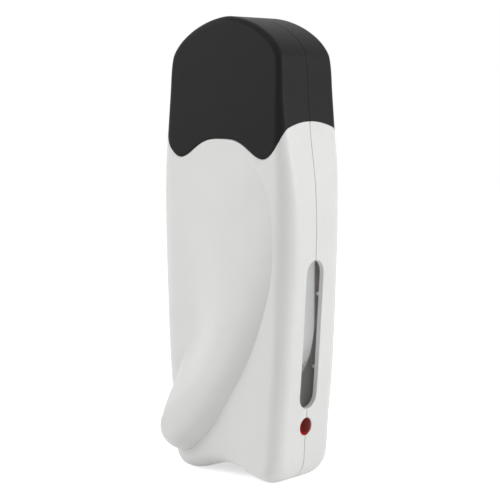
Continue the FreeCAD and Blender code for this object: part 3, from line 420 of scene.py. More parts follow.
def smooth_line(points, samples):
    """Evenly read points of the spline through the given points, spaced by the length of its chords."""
    points = np.asarray(points, float)
    chords = np.linalg.norm(np.diff(points, axis=0), axis=1)
    knots = np.concatenate([[0], np.cumsum(chords)])
    return spline(knots, points)(np.linspace(0, knots[-1], samples))


def soft_step(value):
    """0 up to 0, 1 from 1, and a smooth rise between."""
    inside = np.clip(value, 0, 1)
    return inside * inside * (3 - 2 * inside)


print("spline through 0, 1, 4, 9 at 1.5:", round(float(spline((0, 1, 2, 3), (0, 1, 4, 9))(1.5)), 3))

# %% [markdown]
# A piece is a list of such grids. Their quads are welded where their edges meet, so that the piece is
# one closed skin, and its outside is then found by Blender. Grids that were left apart would show as
# hairline cracks. Edges sharper than about 30 degrees stay sharp in the shading, and the rest is smooth.

# %% From grids to a piece
WELD = 0.002 * MM           # points closer than this become one
SHARP = 30                  # edges that turn by more degrees than this stay sharp


def quads(rows, columns, start):
    """Corner numbers of the quads of one grid whose first point is number start."""
    corner = start + np.arange(rows - 1)[:, None] * columns + np.arange(columns - 1)
    return np.stack([corner, corner + 1, corner + columns + 1, corner + columns], -1).reshape(-1, 4)


def welded(name, points, faces):
    """A new object with its doubles merged and its faces outwards, and the number of its open edges."""
    mesh = bpy.data.meshes.new(name)
    mesh.from_pydata((points * MM).tolist(), [], faces.tolist())
    weld = bmesh.new()
    weld.from_mesh(mesh)
    bmesh.ops.remove_doubles(weld, verts=weld.verts, dist=WELD)
    bmesh.ops.recalc_face_normals(weld, faces=weld.faces)
    open_edges = sum(1 for edge in weld.edges if not edge.is_manifold)
    weld.to_mesh(mesh)
    weld.free()
    thing = bpy.data.objects.new(name, mesh)
    bpy.context.scene.collection.objects.link(thing)
    return thing, open_edges


def make_piece(name, grids, slot, body, replaced, sharp=SHARP):
    """Welds grids into one closed mesh that takes the place of CAD nodes and rides on a body."""
    points = np.concatenate([grid.reshape(-1, 3) for grid in grids])
    starts = np.cumsum([0] + [grid.shape[0] * grid.shape[1] for grid in grids])
    faces = np.concatenate([quads(*grid.shape[:2], start) for grid, start in zip(grids, starts)])
    piece, open_edges = welded(name, points, faces)
    mesh = piece.data
    mesh.shade_smooth()
    mesh.set_sharp_from_angle(angle=math.radians(sharp))
    mesh.materials.append(finishes[slot])
    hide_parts(*replaced)
    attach(piece, body)
    print(name, len(mesh.polygons), "faces,", open_edges, "open edges")
    return piece


print("a grid of 3 by 4 points has", len(quads(3, 4, 0)), "quads")

# %% [markdown]
# ## Outlines of the case and the cap
# Seen from the front, the case is a long shape that stands on two round feet with an arch between
# them. The cap carries on from it to an arched top. The outlines could be traced as Bezier curves. Here
# both are read from the same few widths and heights as the engineering model, so they fit it, and each
# keeps its inward normal, so that a wall or a rounded edge is only a step along that normal.

# %% Driving sizes
HEIGHT = 215.0
FRONT_Y = CASE_Y - 21.6
REAR_Y = CASE_Y + 20.8
PARTING_GAP = 0.3
WALL = 2.2
CAP_WALL = 1.8
SEAM_GAP = 0.3
BODY_TOP = 182.0
# widths are pairs of height and half width, corners are pairs of height and radius
BODY_WIDTHS = ((182, 35.4), (170, 35.8), (158, 36.8), (150, 38.0), (140, 39.2), (124, 40.1),
               (106, 39.9), (86, 38.8), (64, 37.4), (42, 35.8), (26, 34.3), (12.5, 33.4))
CAP_WIDTHS = ((140, 37.2), (150, 36.9), (158, 36.4), (168, 35.5), (182, 34.3))
BODY_CORNERS = ((0, 6.6), (19, 7.3), (64, 7.4), (122, 9.0), (152, 6.2), (182, 3.6))
CAP_CORNERS = ((140, 6.4), (160, 5.0), (175, 3.6), (215, 3.2))
CAP_LEAN = 0.05
CAP_SHOULDER = (33.4, 194.6)
CAP_ARCH_POWER = 1.69
FOOT_X = 24.2
FOOT_CORNER_HEIGHT = 12.5
ARCH_HEIGHT = 5.5
FOOT_FLAT = 0.12
FOOT_SWEEP = 1.75
FOOT_SWEEP_HEIGHT = 16.0
LOBE_X = 25.0
LOBE_Z = 150.0
FRONT_ARCH_RISE = 8.7
FRONT_ARCH_POWER = 1.55
CORNER_CLIMB = 0.096
SIDE_ARCH_RISE = 5.6

body_width = spline(*zip(*sorted(BODY_WIDTHS)))
cap_width = spline(*zip(*sorted(CAP_WIDTHS)))
print("case", 2 * max(width for height, width in BODY_WIDTHS), "mm wide and", REAR_Y - FRONT_Y, "mm deep")

# %% [markdown]
# Each outline is one smooth line through a few points, so its corners run into its sides with no kink. It
# is worked out for the right half only, and the line also passes through the mirrored points, so that it
# crosses the middle level.

# %% Outlines
OUTLINE_SAMPLES = 3000      # on one side
ARC_POINTS = 5              # the spline's points on the arch, and as many on the foot's corner
CROWN_POINTS = 10
SIDE_HEIGHTS = (14, 20, 30, 42, 64, 86, 106, 124, 140, 150, 158, 170, BODY_TOP)
CAP_HEIGHTS = (182, 168, 158, 150, 140)


def outline_through(right, inward, corners):
    """Right half of the smooth outline through points that start on the middle line.

    It holds the distance s along it, the point (x, z), the inward normal (nx, nz) and the edge rounding r."""
    right = np.asarray(right, float)
    whole = np.concatenate([right[:0:-1] * (-1, 1), right])
    line = smooth_line(whole, 2 * OUTLINE_SAMPLES + 1)[OUTLINE_SAMPLES:]
    line[0, 0] = 0.0
    s = np.concatenate([[0], np.cumsum(np.linalg.norm(np.diff(line, axis=0), axis=1))])
    along = np.gradient(line, s, axis=0)
    along[0] = (1.0, 0.0)
    along /= np.linalg.norm(along, axis=1, keepdims=True)
    normal = inward * np.stack([-along[:, 1], along[:, 0]], 1)
    return {"s": s, "x": line[:, 0], "z": line[:, 1], "nx": normal[:, 0], "nz": normal[:, 1],
            "r": spline(*zip(*corners))(line[:, 1])}


def read_outline(outline, s):
    """Point, normal and rounding of the outline at the distances s."""
    return [np.interp(s, outline["s"], outline[name]) for name in ("x", "z", "nx", "nz", "r")]


def case_outline():
    """Arch (a cosine), foot corner (a quarter ellipse) and side (the widths) of the case."""
    share = np.arange(ARC_POINTS) / ARC_POINTS
    arch_x = FOOT_X * share
    arch = np.stack([arch_x, ARCH_HEIGHT * (1 + np.cos(np.pi * arch_x / FOOT_X)) / 2 - FOOT_FLAT], 1)
    turn = np.radians(90 * share)
    reach = body_width(FOOT_CORNER_HEIGHT) - FOOT_X
    corner = np.stack([FOOT_X + reach * np.sin(turn), FOOT_CORNER_HEIGHT * (1 - np.cos(turn)) - FOOT_FLAT], 1)
    side = np.stack([body_width(SIDE_HEIGHTS), SIDE_HEIGHTS], 1)
    return outline_through(np.concatenate([arch, corner, side]), 1, BODY_CORNERS)


def cap_outline():
    """Arched top of the cap (a superellipse) and its side."""
    turn = np.radians(np.linspace(0, 90, CROWN_POINTS))
    across = CAP_SHOULDER[0] * np.sin(turn) ** (2 / CAP_ARCH_POWER)
    up = CAP_SHOULDER[1] + (HEIGHT - CAP_SHOULDER[1]) * np.cos(turn).clip(0) ** (2 / CAP_ARCH_POWER)
    side = np.stack([cap_width(CAP_HEIGHTS), CAP_HEIGHTS], 1)
    return outline_through(np.concatenate([np.stack([across, up], 1), side]), -1, CAP_CORNERS)


case_line = case_outline()
cap_line = cap_outline()
for part, line in (("case", case_line), ("cap", cap_line)):
    print(part, "outline", round(float(line["s"][-1]), 1), "mm")

# %% [markdown]
# ## The scalloped seam
# The cap's lower edge dips to two lobes on the front and the rear and rises in an arch on each side.
# It could be cut with a Boolean, but then its lip would be a sharp edge of uneven triangles. As a height
# that is known at every (x, y), the seam can end the rows of the case and the cap alike. A cosine makes
# the arch between the lobes, and parabolas make the climb round the corners.

# %% Seam
def seam_height(x, y):
    """Height of the seam at (x, y): the share u of the way to a lobe gives the arch between the lobes,
    half of its rise times 1 + cos(180 degrees * u^power). A parabola climbs outside them, plus one in y."""
    across = np.abs(x)
    share = np.minimum(across / LOBE_X, 1)
    wave = FRONT_ARCH_RISE * (1 + np.cos(np.pi * share ** FRONT_ARCH_POWER)) / 2
    wave = wave + CORNER_CLIMB * np.maximum(across - LOBE_X, 0) ** 2
    from_middle = (y - (FRONT_Y + REAR_Y) / 2) / ((REAR_Y - FRONT_Y) / 2)
    return LOBE_Z + wave + SIDE_ARCH_RISE * (1 - from_middle ** 2)


print("seam at the middle, a lobe and the side:",
      [round(float(seam_height(x, y)), 1) for x, y in ((0, FRONT_Y), (LOBE_X, FRONT_Y), (40, PARTING_Y))])

# %% [markdown]
# ## Rounded shells
# Each shell is half of the case or of the cap, from its flat face to the plane where it ends. Its skin
# is a band that follows the outline: first a quarter turn from the face to the side, then the side
# itself. The flat face is a Coons patch, a blend between its four edges, that fills the band. The
# same two grids, moved in by the wall's thickness, make the inside. A box with a Bevel modifier would be
# quicker, but this edge's radius changes with the height, and the cap's faces lean.

# %% Bands and faces
TURN_STEPS = 12
SIDE_STEPS = 10
LIP = np.array([0.25, 0.19, 0.11, 0.04, 0.0])
LEAST_TURN = 0.8            # inner edges are rounded at least this much


def soft_edge(distance):
    """How far a skin pulls back near its open edge: a quarter circle of 0.25 mm makes a rounded lip."""
    inside = np.clip(1 - distance / LIP[0], 0, 1)
    return LIP[0] * (1 - np.sqrt(1 - inside ** 2))


def band(outline, s, inset, face, way, far, soft=1):
    """Skin from the flat face round the edge to the depth far, along the distances s.

    Columns are first a quarter turn of radius r, where the skin lies r(1 - sin) in from the outline and
    r(1 - cos) behind the face, then straight steps to far, closer together at its lip. Low on the feet the
    quarter turn is an ellipse, up to FOOT_SWEEP times as deep."""
    straight = np.full(SIDE_STEPS + len(LIP) - 1, 90)
    turn = np.radians(np.concatenate([np.linspace(0, 90, TURN_STEPS), straight]))
    run = np.concatenate([np.zeros(TURN_STEPS), np.linspace(0, 1, SIDE_STEPS + 1)[1:], np.ones(len(LIP) - 1)])
    to_end = np.concatenate([np.full(TURN_STEPS + SIDE_STEPS, LIP[0]), LIP[1:]])
    x, z, nx, nz, r = read_outline(outline, s)
    r = np.maximum(r - inset, LEAST_TURN)
    back = inset + r * (1 - np.sin(turn)) + soft * soft_edge(to_end)
    z = z + nz * back
    deeper = 1 + (FOOT_SWEEP - 1) * soft_step(1 - z / FOOT_SWEEP_HEIGHT)
    near = face(z) + way * (inset + r * deeper * (1 - np.cos(turn)))
    y = near + run * (far - way * to_end - near)
    return np.stack([x + nx * back, y, z], -1)


def fill(first, right, left, last):
    """Coons patch between its edges: first and last run left to right, right and left from first to last."""
    across = np.concatenate([[0], np.cumsum(np.linalg.norm(np.diff(first, axis=0), axis=1))])
    up = np.concatenate([[0], np.cumsum(np.linalg.norm(np.diff(right, axis=0), axis=1))])
    u = (across / across[-1])[None, :, None]
    v = (up / up[-1])[:, None, None]
    ruled = (1 - v) * first + v * last + (1 - u) * left[:, None] + u * right[:, None]
    corners = ((1 - v) * ((1 - u) * first[0] + u * first[-1]) + v * ((1 - u) * last[0] + u * last[-1]))
    return ruled - corners


def mirror(grid):
    """The same grid on the other side of the middle plane x = 0."""
    return grid * (-1, 1, 1)


print("a band has", TURN_STEPS + SIDE_STEPS + len(LIP) - 1, "columns")

# %% [markdown]
# Rows of a band follow the outline. Up to a fixed distance they are the same for all columns. From
# there they stretch, so that the last row of every column ends on the seam, which is found by stepping
# along the outline until the height fits.

# %% Rows that end on the seam
SEAM_REACH = 40.0           # a first guess of the way from the fixed rows to the seam
CLIMB_STEPS = 14
LEVEL_STEPS = 4


def rows_to_seam(outline, fixed, shares, inset, face, way, far, gap, climbing):
    """Distances s in rows by columns: the fixed rows, then shares of the way from there to the seam.

    climbing is 1 where s grows upwards and -1 where it grows downwards."""
    columns = TURN_STEPS + SIDE_STEPS + len(LIP) - 1
    top = np.full((1, columns), fixed[-1] + SEAM_REACH)
    for step in range(CLIMB_STEPS):
        point = band(outline, top, inset, face, way, far)
        top += climbing * (seam_height(point[..., 0], point[..., 1]) + gap - point[..., 2])
    same = np.broadcast_to(np.asarray(fixed)[:, None], (len(fixed), columns))
    return np.concatenate([same, fixed[-1] + shares[:, None] * (top - fixed[-1])])


def seam_edge(first, right, left, face, way, gap):
    """Edge of a flat face along the seam, from left to right, with the steps of the edge opposite."""
    steps = np.concatenate([[0], np.cumsum(np.linalg.norm(np.diff(first, axis=0), axis=1))])
    x = left[-1, 0] + (right[-1, 0] - left[-1, 0]) * steps / steps[-1]
    behind = right[-1, 1] - face(right[-1, 2])
    y = np.full_like(x, right[-1, 1])
    for step in range(LEVEL_STEPS):
        z = seam_height(x, y) + gap
        y = face(z) + behind
    edge = np.stack([x, y, z], -1)
    edge[0], edge[-1] = left[-1], right[-1]
    return edge


def half_skin(outline, fixed, shares, turn_row, inset, face, way, fars, gap, climbing, soft):
    """One skin of a half shell: its right and left bands and its flat face, inset by the wall or by 0.

    fars holds the depth where the right and the left band end, for each row. turn_row is the row at the
    corner of the flat face."""
    pull = np.concatenate([np.zeros(len(fixed) + len(shares) - len(LIP)), soft_edge(LIP)])[:, None] * soft
    sides = []
    for far in fars:
        s = rows_to_seam(outline, fixed, shares, inset, face, way, far[-1:], gap, climbing)
        sides.append(band(outline, s, inset + pull, face, way, far, soft))
    right, left = sides[0], mirror(sides[1])
    first = np.concatenate([left[turn_row:0:-1, 0], right[:turn_row + 1, 0]])
    up_right, up_left = right[turn_row:, 0], left[turn_row:, 0]
    flat = fill(first, up_right, up_left, seam_edge(first, up_right, up_left, face, way, gap))
    return {"right": right, "left": left, "flat": flat}


def bridges(outer, inner, ends):
    """Narrow grids that join the outer and the inner skin along the seam and, if wanted, the ends."""
    joined = [np.stack([outer[name][-1], inner[name][-1]]) for name in ("right", "left", "flat")]
    if ends:
        joined += [np.stack([outer[name][:, -1], inner[name][:, -1]]) for name in ("right", "left")]
    return joined

# %% [markdown]
# ## The case
# The two shells meet in a thin shadow line half way back. On the right, the line opens round the window
# and the lamp, and at the bottom round the mains inlet. Because a band ends at a depth that is a
# function of the row, each opening is simply a dip in that depth: half a slot, or half a circle.

# %% Rows of the case
WINDOW_Z, WINDOW_LENGTH, WINDOW_WIDTH = 69.2, 69.4, 12.2
WINDOW_STRAIGHT = WINDOW_LENGTH / 2 - WINDOW_WIDTH / 2
LAMP_RADIUS = 4.25
INLET_HALF_WIDTH, INLET_HALF_DEPTH = 10.1, 6.1
INLET_BELOW = ARCH_HEIGHT + 1.0  # the inlet opens the parting line only under this height
SEAM_ZONE = 120.0
INLET_ROWS, CORNER_ROWS, FOOT_ROWS = 9, 34, 14
END_ROWS, LOW_ROWS, BETWEEN_ROWS, WINDOW_ROWS, TOP_ROWS = 14, 4, 5, 30, 9
STEP_GAP = 0.01             # two rows this far apart make a sudden step
SEAM_ROWS = 26

side_from = int(np.argmax(case_line["z"] > FOOT_CORNER_HEIGHT))


def along_side(z):
    """Distance along the case's outline at the height z of its side."""
    return np.interp(z, case_line["z"][side_from:], case_line["s"][side_from:])


def along_bottom(x):
    """Distance along the case's outline at the place x of its arch."""
    on_arch = case_line["s"] < case_line["s"][side_from] / 2
    return np.interp(x, case_line["x"][on_arch], case_line["s"][on_arch])


def case_rows():
    """Fixed rows from the arch to the seam zone, dense at the openings' ends, and the row at the corner."""
    corner = case_line["s"][np.argmax(case_line["nx"] < -math.sqrt(0.5))]
    quarter = np.sin(np.radians(np.linspace(0, 90, END_ROWS)))
    lamp = LAMP_Z + LAMP_RADIUS * np.concatenate([-quarter[::-1], quarter[1:]])
    low_end = WINDOW_Z - WINDOW_STRAIGHT - WINDOW_WIDTH / 2 * quarter[::-1]
    high_end = WINDOW_Z + WINDOW_STRAIGHT + WINDOW_WIDTH / 2 * quarter
    heights = np.concatenate([np.linspace(FOOT_CORNER_HEIGHT, lamp[0], LOW_ROWS)[:-1], lamp,
                              np.linspace(lamp[-1], low_end[0], BETWEEN_ROWS)[1:-1], low_end,
                              np.linspace(low_end[-1], high_end[0], WINDOW_ROWS)[1:-1], high_end,
                              np.linspace(high_end[-1], SEAM_ZONE, TOP_ROWS)[1:]])
    inlet = along_bottom(INLET_HALF_WIDTH)
    to_side = np.linspace(corner, along_side(FOOT_CORNER_HEIGHT), FOOT_ROWS)[1:-1]
    rows = [np.linspace(0, inlet, INLET_ROWS), np.linspace(inlet + STEP_GAP, corner, CORNER_ROWS), to_side,
            along_side(heights)]
    return np.concatenate(rows), INLET_ROWS + CORNER_ROWS - 1


def opening_depth(s, right):
    """How far the openings reach from the parting plane into each shell, at the distances s."""
    x, z = np.interp(s, case_line["s"], case_line["x"]), np.interp(s, case_line["s"], case_line["z"])
    past = np.maximum(np.abs(z - WINDOW_Z) - WINDOW_STRAIGHT, 0)
    window = np.sqrt(np.maximum((WINDOW_WIDTH / 2) ** 2 - past ** 2, 0))
    lamp = np.sqrt(np.maximum(LAMP_RADIUS ** 2 - (z - LAMP_Z) ** 2, 0))
    inlet = np.where((x <= INLET_HALF_WIDTH) & (z < INLET_BELOW), INLET_HALF_DEPTH, 0)
    depth = np.maximum(inlet, PARTING_GAP / 2)
    return np.maximum(depth, np.maximum(window, lamp)) if right else depth


case_fixed, case_turn = case_rows()
seam_shares = np.concatenate([np.linspace(0, 1 - LIP[0] / SEAM_REACH, SEAM_ROWS)[1:],
                              1 - LIP[1:] / SEAM_REACH])
print(len(case_fixed) + len(seam_shares), "rows from the arch to the seam")

# %% [markdown]
# Each shell has an outer and an inner skin, joined along the seam and the parting line. A Solidify modifier
# could make the wall, but its rim would be square. Here the lip at the parting line is rounded as well.

# %% Case shells
def case_shell(face_y, way):
    """Grids of one shell of the case, from its flat face at face_y inwards along way."""
    all_rows = np.concatenate([case_fixed, np.full(len(seam_shares), case_fixed[-1])])
    fars = [(PARTING_Y - way * opening_depth(all_rows, right))[:, None] for right in (True, False)]

    def flat(z):
        return np.full_like(z, face_y)

    outer = half_skin(case_line, case_fixed, seam_shares, case_turn, 0.0, flat, way, fars, 0.0, 1, 1)
    inner = half_skin(case_line, case_fixed, seam_shares, case_turn, WALL, flat, way, fars, 0.0, 1, 0)
    grids = [*outer.values(), *inner.values(), *bridges(outer, inner, True)]
    for grid in grids:
        grid[..., 2] = np.maximum(grid[..., 2], 0)
    return grids


rear_case = make_piece("rear_case", case_shell(REAR_Y, -1), "white_abs", "case", ["rear_shell"])

# %% [markdown]
# The rear shell is screwed on from behind. Its screws stand at the bottom of deep round wells, inside
# towers that reach to the parting line. Holes like these don't follow the grid, so they are cut with
# Boolean operations: towers are added first, then the wells and the narrower holes are taken out. The
# two screws of the chamber's cradle get the same, only small and shallow, and without a tower.

# %% Screw towers and wells
CASE_SCREWS = [(side * x, z) for x, z in ((33.4, 132.0), (20.0, 14.5)) for side in (-1, 1)]
CRADLE_SCREWS = [(side * 19.0, 41.0) for side in (-1, 1)]
TOWER_RADIUS, WELL_RADIUS, SHANK_RADIUS, WELL_DEPTH = 3.6, 2.9, 1.55, 12.0
SMALL_WELL_RADIUS, SMALL_SHANK_RADIUS, SMALL_WELL_DEPTH = 2.2, 1.1, 1.2
TOWER_ROOT = 0.5            # a tower reaches this far into the wall
CLEAR = 5.0                 # a cut starts this far outside
PAST = 1.0                  # a narrow hole runs this far past the wall or the tower
ROUND = 49                  # points round a rod, the last on the first


def rods(places, radius, front, back):
    """Closed round rods along Y at the given (x, z), as one object: each has two circles and two poles."""
    turn = np.radians(np.linspace(0, 360, ROUND))
    ring = np.stack([np.cos(turn), np.zeros(ROUND), np.sin(turn)], -1)
    sizes = np.array([0, radius, radius, 0])[:, None, None]
    depths = np.array([front, front, back, back])[:, None, None]
    rows = ring * sizes + depths * (0, 1, 0)
    points = np.concatenate([(rows + (x, 0, z)).reshape(-1, 3) for x, z in places])
    faces = np.concatenate([quads(4, ROUND, 4 * ROUND * number) for number in range(len(places))])
    return welded("rods", points, faces)[0]


def carve(piece, operation, places, radius, front, back):
    """Joins rods to the piece or cuts them out of it, and deletes them again."""
    tool = rods(places, radius, front, back)
    change = piece.modifiers.new("carve", "BOOLEAN")
    change.object = tool
    change.operation = operation
    change.solver = "EXACT"
    bpy.context.view_layer.update()
    result = bpy.data.meshes.new_from_object(piece.evaluated_get(bpy.context.evaluated_depsgraph_get()))
    piece.modifiers.clear()
    piece.data = result
    bpy.data.objects.remove(tool)
    result.shade_smooth()
    result.set_sharp_from_angle(angle=math.radians(SHARP))


tower_top = REAR_Y - WALL + TOWER_ROOT
carve(rear_case, "UNION", CASE_SCREWS, TOWER_RADIUS, PARTING_Y + PARTING_GAP / 2, tower_top)
for places, radius, front, back in (
        (CASE_SCREWS, WELL_RADIUS, REAR_Y - WELL_DEPTH, REAR_Y + CLEAR),
        (CASE_SCREWS, SHANK_RADIUS, PARTING_Y - PAST, REAR_Y),
        (CRADLE_SCREWS, SMALL_WELL_RADIUS, REAR_Y - SMALL_WELL_DEPTH, REAR_Y + CLEAR),
        (CRADLE_SCREWS, SMALL_SHANK_RADIUS, REAR_Y - WALL - PAST, REAR_Y)):
    carve(rear_case, "DIFFERENCE", places, radius, front, back)
print("rear case with its wells:", len(rear_case.data.polygons), "faces")

# %% [markdown]
# ## The finger grip
# The grip is a ridge whose height and half widths change along a curved middle line, from a low broad
# head to a high blunt nose. On the right its flank ends in a crisp crease. On the left it fades into
# the face, with a profile that is flat where it lands, and turns crisp only near the nose. A form like
# this is often sculpted. A ridge with a profile across it has no lumps, and a few numbers shape it all.

# %% Ridge of the grip
# place (x, z) of the ridge, its height, and its half width on the left and on the right
GRIP_RIDGE = np.array([
    (0.0, 123.5, 1.3, 29.7, 29.7),
    (1.8, 109.5, 2.2, 28.5, 29.4),
    (4.4, 95.0, 3.4, 27.0, 26.3),
    (5.6, 82.0, 4.4, 25.5, 21.0),
    (4.4, 69.5, 5.1, 24.0, 16.5),
    (-0.2, 57.8, 5.8, 22.0, 14.8),
    (-8.6, 46.0, 6.7, 18.5, 15.2),
    (-18.7, 34.0, 8.5, 13.5, 16.7),
    (-27.0, 23.8, 9.0, 7.2, 15.1),
])
GRIP_SOFT_ABOVE = 50.0
GRIP_CRISP_BELOW = 26.0
GRIP_LIFT = 0.02
GRIP_ROOT = 1.2             # the grip reaches this far into the wall
GRIP_FULLNESS = (3.0, 4.0, 5.0)
RIDGE_SAMPLES, NOSE_SAMPLES, FLANK_SAMPLES = 90, 40, 44
FLANK_CROWDING = 0.85       # below 1, a flank's samples crowd towards the rim
TANGENT_STEP = 0.05
GRIP_SHARP = 24             # its crease opens out gently, so less of a turn is sharp here
OUTLINE_EVERY = 4           # every fourth sample of the outline is near enough


def ridge_loop():
    """Loop round the ridge: right side down, round the nose, left side up, round the head.

    For each sample: the ridge point and its height, the unit direction away from it, the half width
    there, how far right it looks (1 right, 0 left), and how far along the ridge it is (0 head, 1 nose)."""
    chords = np.linalg.norm(np.diff(GRIP_RIDGE[:, :2], axis=0), axis=1)
    knots = np.concatenate([[0], np.cumsum(chords)])
    read = spline(knots, GRIP_RIDGE)
    down = np.linspace(0, knots[-1], RIDGE_SAMPLES)
    one, none = np.ones(RIDGE_SAMPLES), np.zeros(RIDGE_SAMPLES)
    arc = np.radians(np.linspace(0, 180, NOSE_SAMPLES))[1:-1]
    at = np.concatenate([down, np.full(len(arc), knots[-1]), down[::-1], np.zeros(len(arc)), [0]])
    lean = np.concatenate([one, np.cos(arc), -one, -np.cos(arc), [1]])
    ahead = np.concatenate([none, np.sin(arc), none, -np.sin(arc), [0]])
    tangent = (read(at + TANGENT_STEP) - read(at - TANGENT_STEP))[:, :2]
    tangent /= np.linalg.norm(tangent, axis=1, keepdims=True)
    right = np.stack([-tangent[:, 1], tangent[:, 0]], 1)
    values = read(at)
    side = soft_step((lean + 1) / 2)
    half = values[:, 3] * (1 - side) + values[:, 4] * side
    direction = right * lean[:, None] + tangent * ahead[:, None]
    return values[:, :2], values[:, 2], direction, half, side, at / knots[-1]


print("grip from", GRIP_RIDGE[0, 1], "mm down to", GRIP_RIDGE[-1, 1], "mm,", GRIP_RIDGE[-1, 2], "mm high")

# %% [markdown]
# The grip's skin runs from the ridge out to its rim. The rim must not stand out over the rounded edge of
# the case, so it sinks by the depth of that edge wherever it comes near the outline, and then turns
# back into the wall.

# %% Skin of the grip
def outline_distance(x, z):
    """Shortest distance from points to the case's outline, and the edge rounding at the nearest place."""
    line_x, line_z, line_r = (case_line[name][::OUTLINE_EVERY] for name in ("x", "z", "r"))
    gaps = np.hypot(np.abs(x)[:, None] - line_x, z[:, None] - line_z)
    nearest = gaps.argmin(1)
    return gaps[np.arange(len(x)), nearest], line_r[nearest]


def grip_grid():
    """Grip's skin: from the ridge out to the rim, then back into the case, and in again behind.

    A flank is crisp, height * (1 - q^power), or soft, height * (1 - q^2)^3, or a mix, where q is the
    share of the half width."""
    middle, height, direction, half, side, nose = ridge_loop()
    q = np.linspace(0, 1, FLANK_SAMPLES) ** FLANK_CROWDING
    head, right_nose, left_nose = GRIP_FULLNESS
    low = soft_step(2 * nose - 1)
    power = (head + (right_nose - head) * low + (left_nose - right_nose) * low * (1 - side))[:, None]
    softness = soft_step((middle[:, 1] - GRIP_CRISP_BELOW) / (GRIP_SOFT_ABOVE - GRIP_CRISP_BELOW))
    fade = (softness * (1 - side))[:, None]
    shape = (1 - q ** power) * (1 - fade) + (1 - q ** 2) ** 3 * fade
    place = middle[:, None] + direction[:, None] * half[:, None, None] * q[None, :, None]
    y = FRONT_Y - GRIP_LIFT - height[:, None] * shape
    skin = np.stack([place[..., 0], y, place[..., 1]], -1)
    gap, radius = outline_distance(skin[:, -1, 0], skin[:, -1, 2])
    sunk = np.where(gap < radius, radius - np.sqrt(np.maximum(radius ** 2 - (radius - gap) ** 2, 0)), 0)
    rim = skin[:, -1].copy()
    rim[:, 1] = FRONT_Y + sunk + GRIP_ROOT
    behind = np.stack([middle[:, 0], np.full(len(middle), FRONT_Y + GRIP_ROOT), middle[:, 1]], -1)
    return np.concatenate([skin, rim[:, None], behind[:, None]], 1)


front_grids = case_shell(FRONT_Y, 1) + [grip_grid()]
make_piece("front_case", front_grids, "white_abs", "case", ["front_shell"], GRIP_SHARP)

# %% [markdown]
# ## The cap
# The cap is one closed shell. Both its faces lean in a little towards the top, so that it comes out of
# its mould. It could be one loft from the crown down. It is made as two halves that weld together in the
# middle, each from the top of the arch down to the seam, because then the case's own bands make it too.

# %% Cap
CAP_SEAM_ZONE = 186.0
CROWN_ROWS, SIDE_ROWS = 44, 20


def cap_rows():
    """Fixed rows from the top of the arch to the shoulder and below, and the row at the face's corner."""
    turned = int(np.argmax(cap_line["nx"] < -math.sqrt(0.5)))
    corner = cap_line["s"][turned]
    stop = np.interp(-CAP_SEAM_ZONE, -cap_line["z"], cap_line["s"])
    rows = [np.linspace(0, corner, CROWN_ROWS), np.linspace(corner, stop, SIDE_ROWS)[1:]]
    return np.concatenate(rows), CROWN_ROWS - 1


def cap_half(face_y, way):
    """Both skins of half a cap, and the narrow grids that join them along its lower edge."""
    fixed, turn_row = cap_rows()
    fars = [np.full((len(fixed) + len(seam_shares), 1), (FRONT_Y + REAR_Y) / 2)] * 2

    def face(z):
        return face_y + way * CAP_LEAN * (z - LOBE_Z - FRONT_ARCH_RISE)

    outer = half_skin(cap_line, fixed, seam_shares, turn_row, 0.0, face, way, fars, SEAM_GAP, -1, 1)
    inner = half_skin(cap_line, fixed, seam_shares, turn_row, CAP_WALL, face, way, fars, SEAM_GAP, -1, 0)
    return [*outer.values(), *inner.values(), *bridges(outer, inner, False)]


make_piece("cap_shell", cap_half(FRONT_Y, 1) + cap_half(REAR_Y, -1), "black_abs", "cap", ["cap"])

# %% [markdown]
# ## The floor, the lamps and the world
# The heater stands on a pale floor that takes only a faint shadow, under three large soft lamps, from the
# left front, from the right and from above. A studio's environment map could light it as well.
# Lamps of known size and share are plainer, and show how each edge gets its shade.

# %% Floor
FLOOR_HALF, FLOOR_DROP = 2.0, 0.0001  # in metres, as the lamps are


def either_ray(tree, first, second):
    """1 where either kind of ray looks, else 0."""
    return add(tree, "ShaderNodeMath", {0: first, 1: second}, operation="MAXIMUM").outputs["Value"]


def plain_floor():
    """A pale floor: it glows a little to the camera and in reflections, so that only a faint shadow stays."""
    material, tree, surface = start_material("studio_paper", {
        "Roughness": 0.9, "Emission Color": (1.0, 1.0, 1.0, 1.0)})
    fibre = grain(tree, 3.0)
    tree.links.new(blend_colours(tree, fibre, "#FDFDFD", "#FBFBFB"), surface.inputs["Base Color"])
    rays = add(tree, "ShaderNodeLightPath").outputs
    seen = either_ray(tree, rays["Is Camera Ray"], rays["Is Glossy Ray"])
    glow = add(tree, "ShaderNodeMath", {0: seen, 1: 0.6}, operation="MULTIPLY")
    tree.links.new(glow.outputs["Value"], surface.inputs["Emission Strength"])
    return material


def make_floor():
    """A flat square, a hair below the feet."""
    x, y = np.meshgrid([-FLOOR_HALF, FLOOR_HALF], [-FLOOR_HALF, FLOOR_HALF])
    grid = np.stack([x, y, np.full_like(x, -FLOOR_DROP)], -1)
    mesh = bpy.data.meshes.new("floor")
    mesh.from_pydata(grid.reshape(-1, 3).tolist(), [], quads(2, 2, 0).tolist())
    mesh.materials.append(plain_floor())
    floor = bpy.data.objects.new("floor", mesh)
    bpy.context.scene.collection.objects.link(floor)


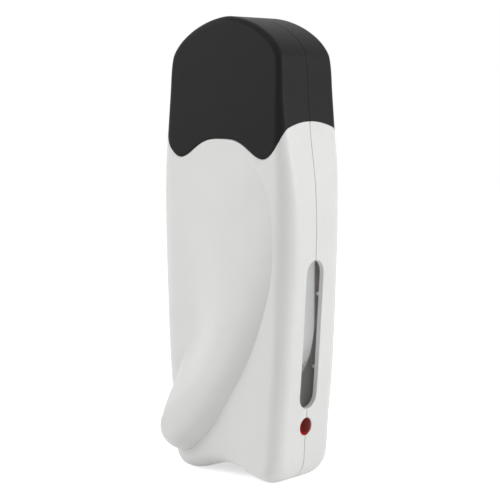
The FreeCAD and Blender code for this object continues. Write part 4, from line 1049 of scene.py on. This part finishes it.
make_floor()
print("floor", 2 * FLOOR_HALF, "m wide")

# %% [markdown]
# Each lamp is a large square, so that its shadows are soft. Its power comes from the light that a white
# face turned to it should give back: at a distance d, that share asks for share * pi^2 * d^2 watts.

# %% Lamps and world
LAMP_AIM_HEIGHT = 0.1
LAMPS = (  # name, azimuth in degrees, height against reach, distance and size in metres, share of light
    ("left_front", -42, 0.45, 1.2, 0.9, 0.44),
    ("right", 116, 0.3, 1.2, 0.45, 0.45),
    ("above", 20, 3.0, 1.3, 0.6, 0.10),
)
WORLD_STRENGTH = 0.37


def soft_lamp(name, azimuth, height, distance, size, share):
    """A square lamp that looks at the case."""
    lamp = bpy.data.objects.new(name, bpy.data.lights.new(name, "AREA"))
    aim = Vector((0.0, CASE_Y * MM, LAMP_AIM_HEIGHT))
    turn = math.radians(azimuth)
    lamp.location = aim + Vector((math.sin(turn), -math.cos(turn), height)).normalized() * distance
    lamp.rotation_euler = (aim - lamp.location).to_track_quat("-Z", "Y").to_euler()
    lamp.data.shape = "SQUARE"
    lamp.data.size = size
    lamp.data.energy = share * math.pi ** 2 * distance ** 2
    bpy.context.scene.collection.objects.link(lamp)


def make_world(strength):
    """Soft light from everywhere, and plain white where the camera or a reflection looks past the object."""
    world = bpy.data.worlds.new("studio")
    world.use_nodes = True
    tree = world.node_tree
    tree.nodes.clear()
    rays = add(tree, "ShaderNodeLightPath").outputs
    seen = either_ray(tree, rays["Is Camera Ray"], rays["Is Glossy Ray"])
    seen = either_ray(tree, seen, rays["Is Transmission Ray"])
    level = add(tree, "ShaderNodeMapRange", {"Value": seen, "To Min": strength, "To Max": 1.0})
    sky = add(tree, "ShaderNodeBackground", {"Color": (1.0, 1.0, 1.0, 1.0),
                                             "Strength": level.outputs["Result"]})
    add(tree, "ShaderNodeOutputWorld", {"Surface": sky.outputs["Background"]})
    bpy.context.scene.world = world


for lamp in LAMPS:
    soft_lamp(*lamp)
make_world(WORLD_STRENGTH)
bpy.context.scene.view_settings.view_transform = "Standard"
print(len(LAMPS), "lamps")
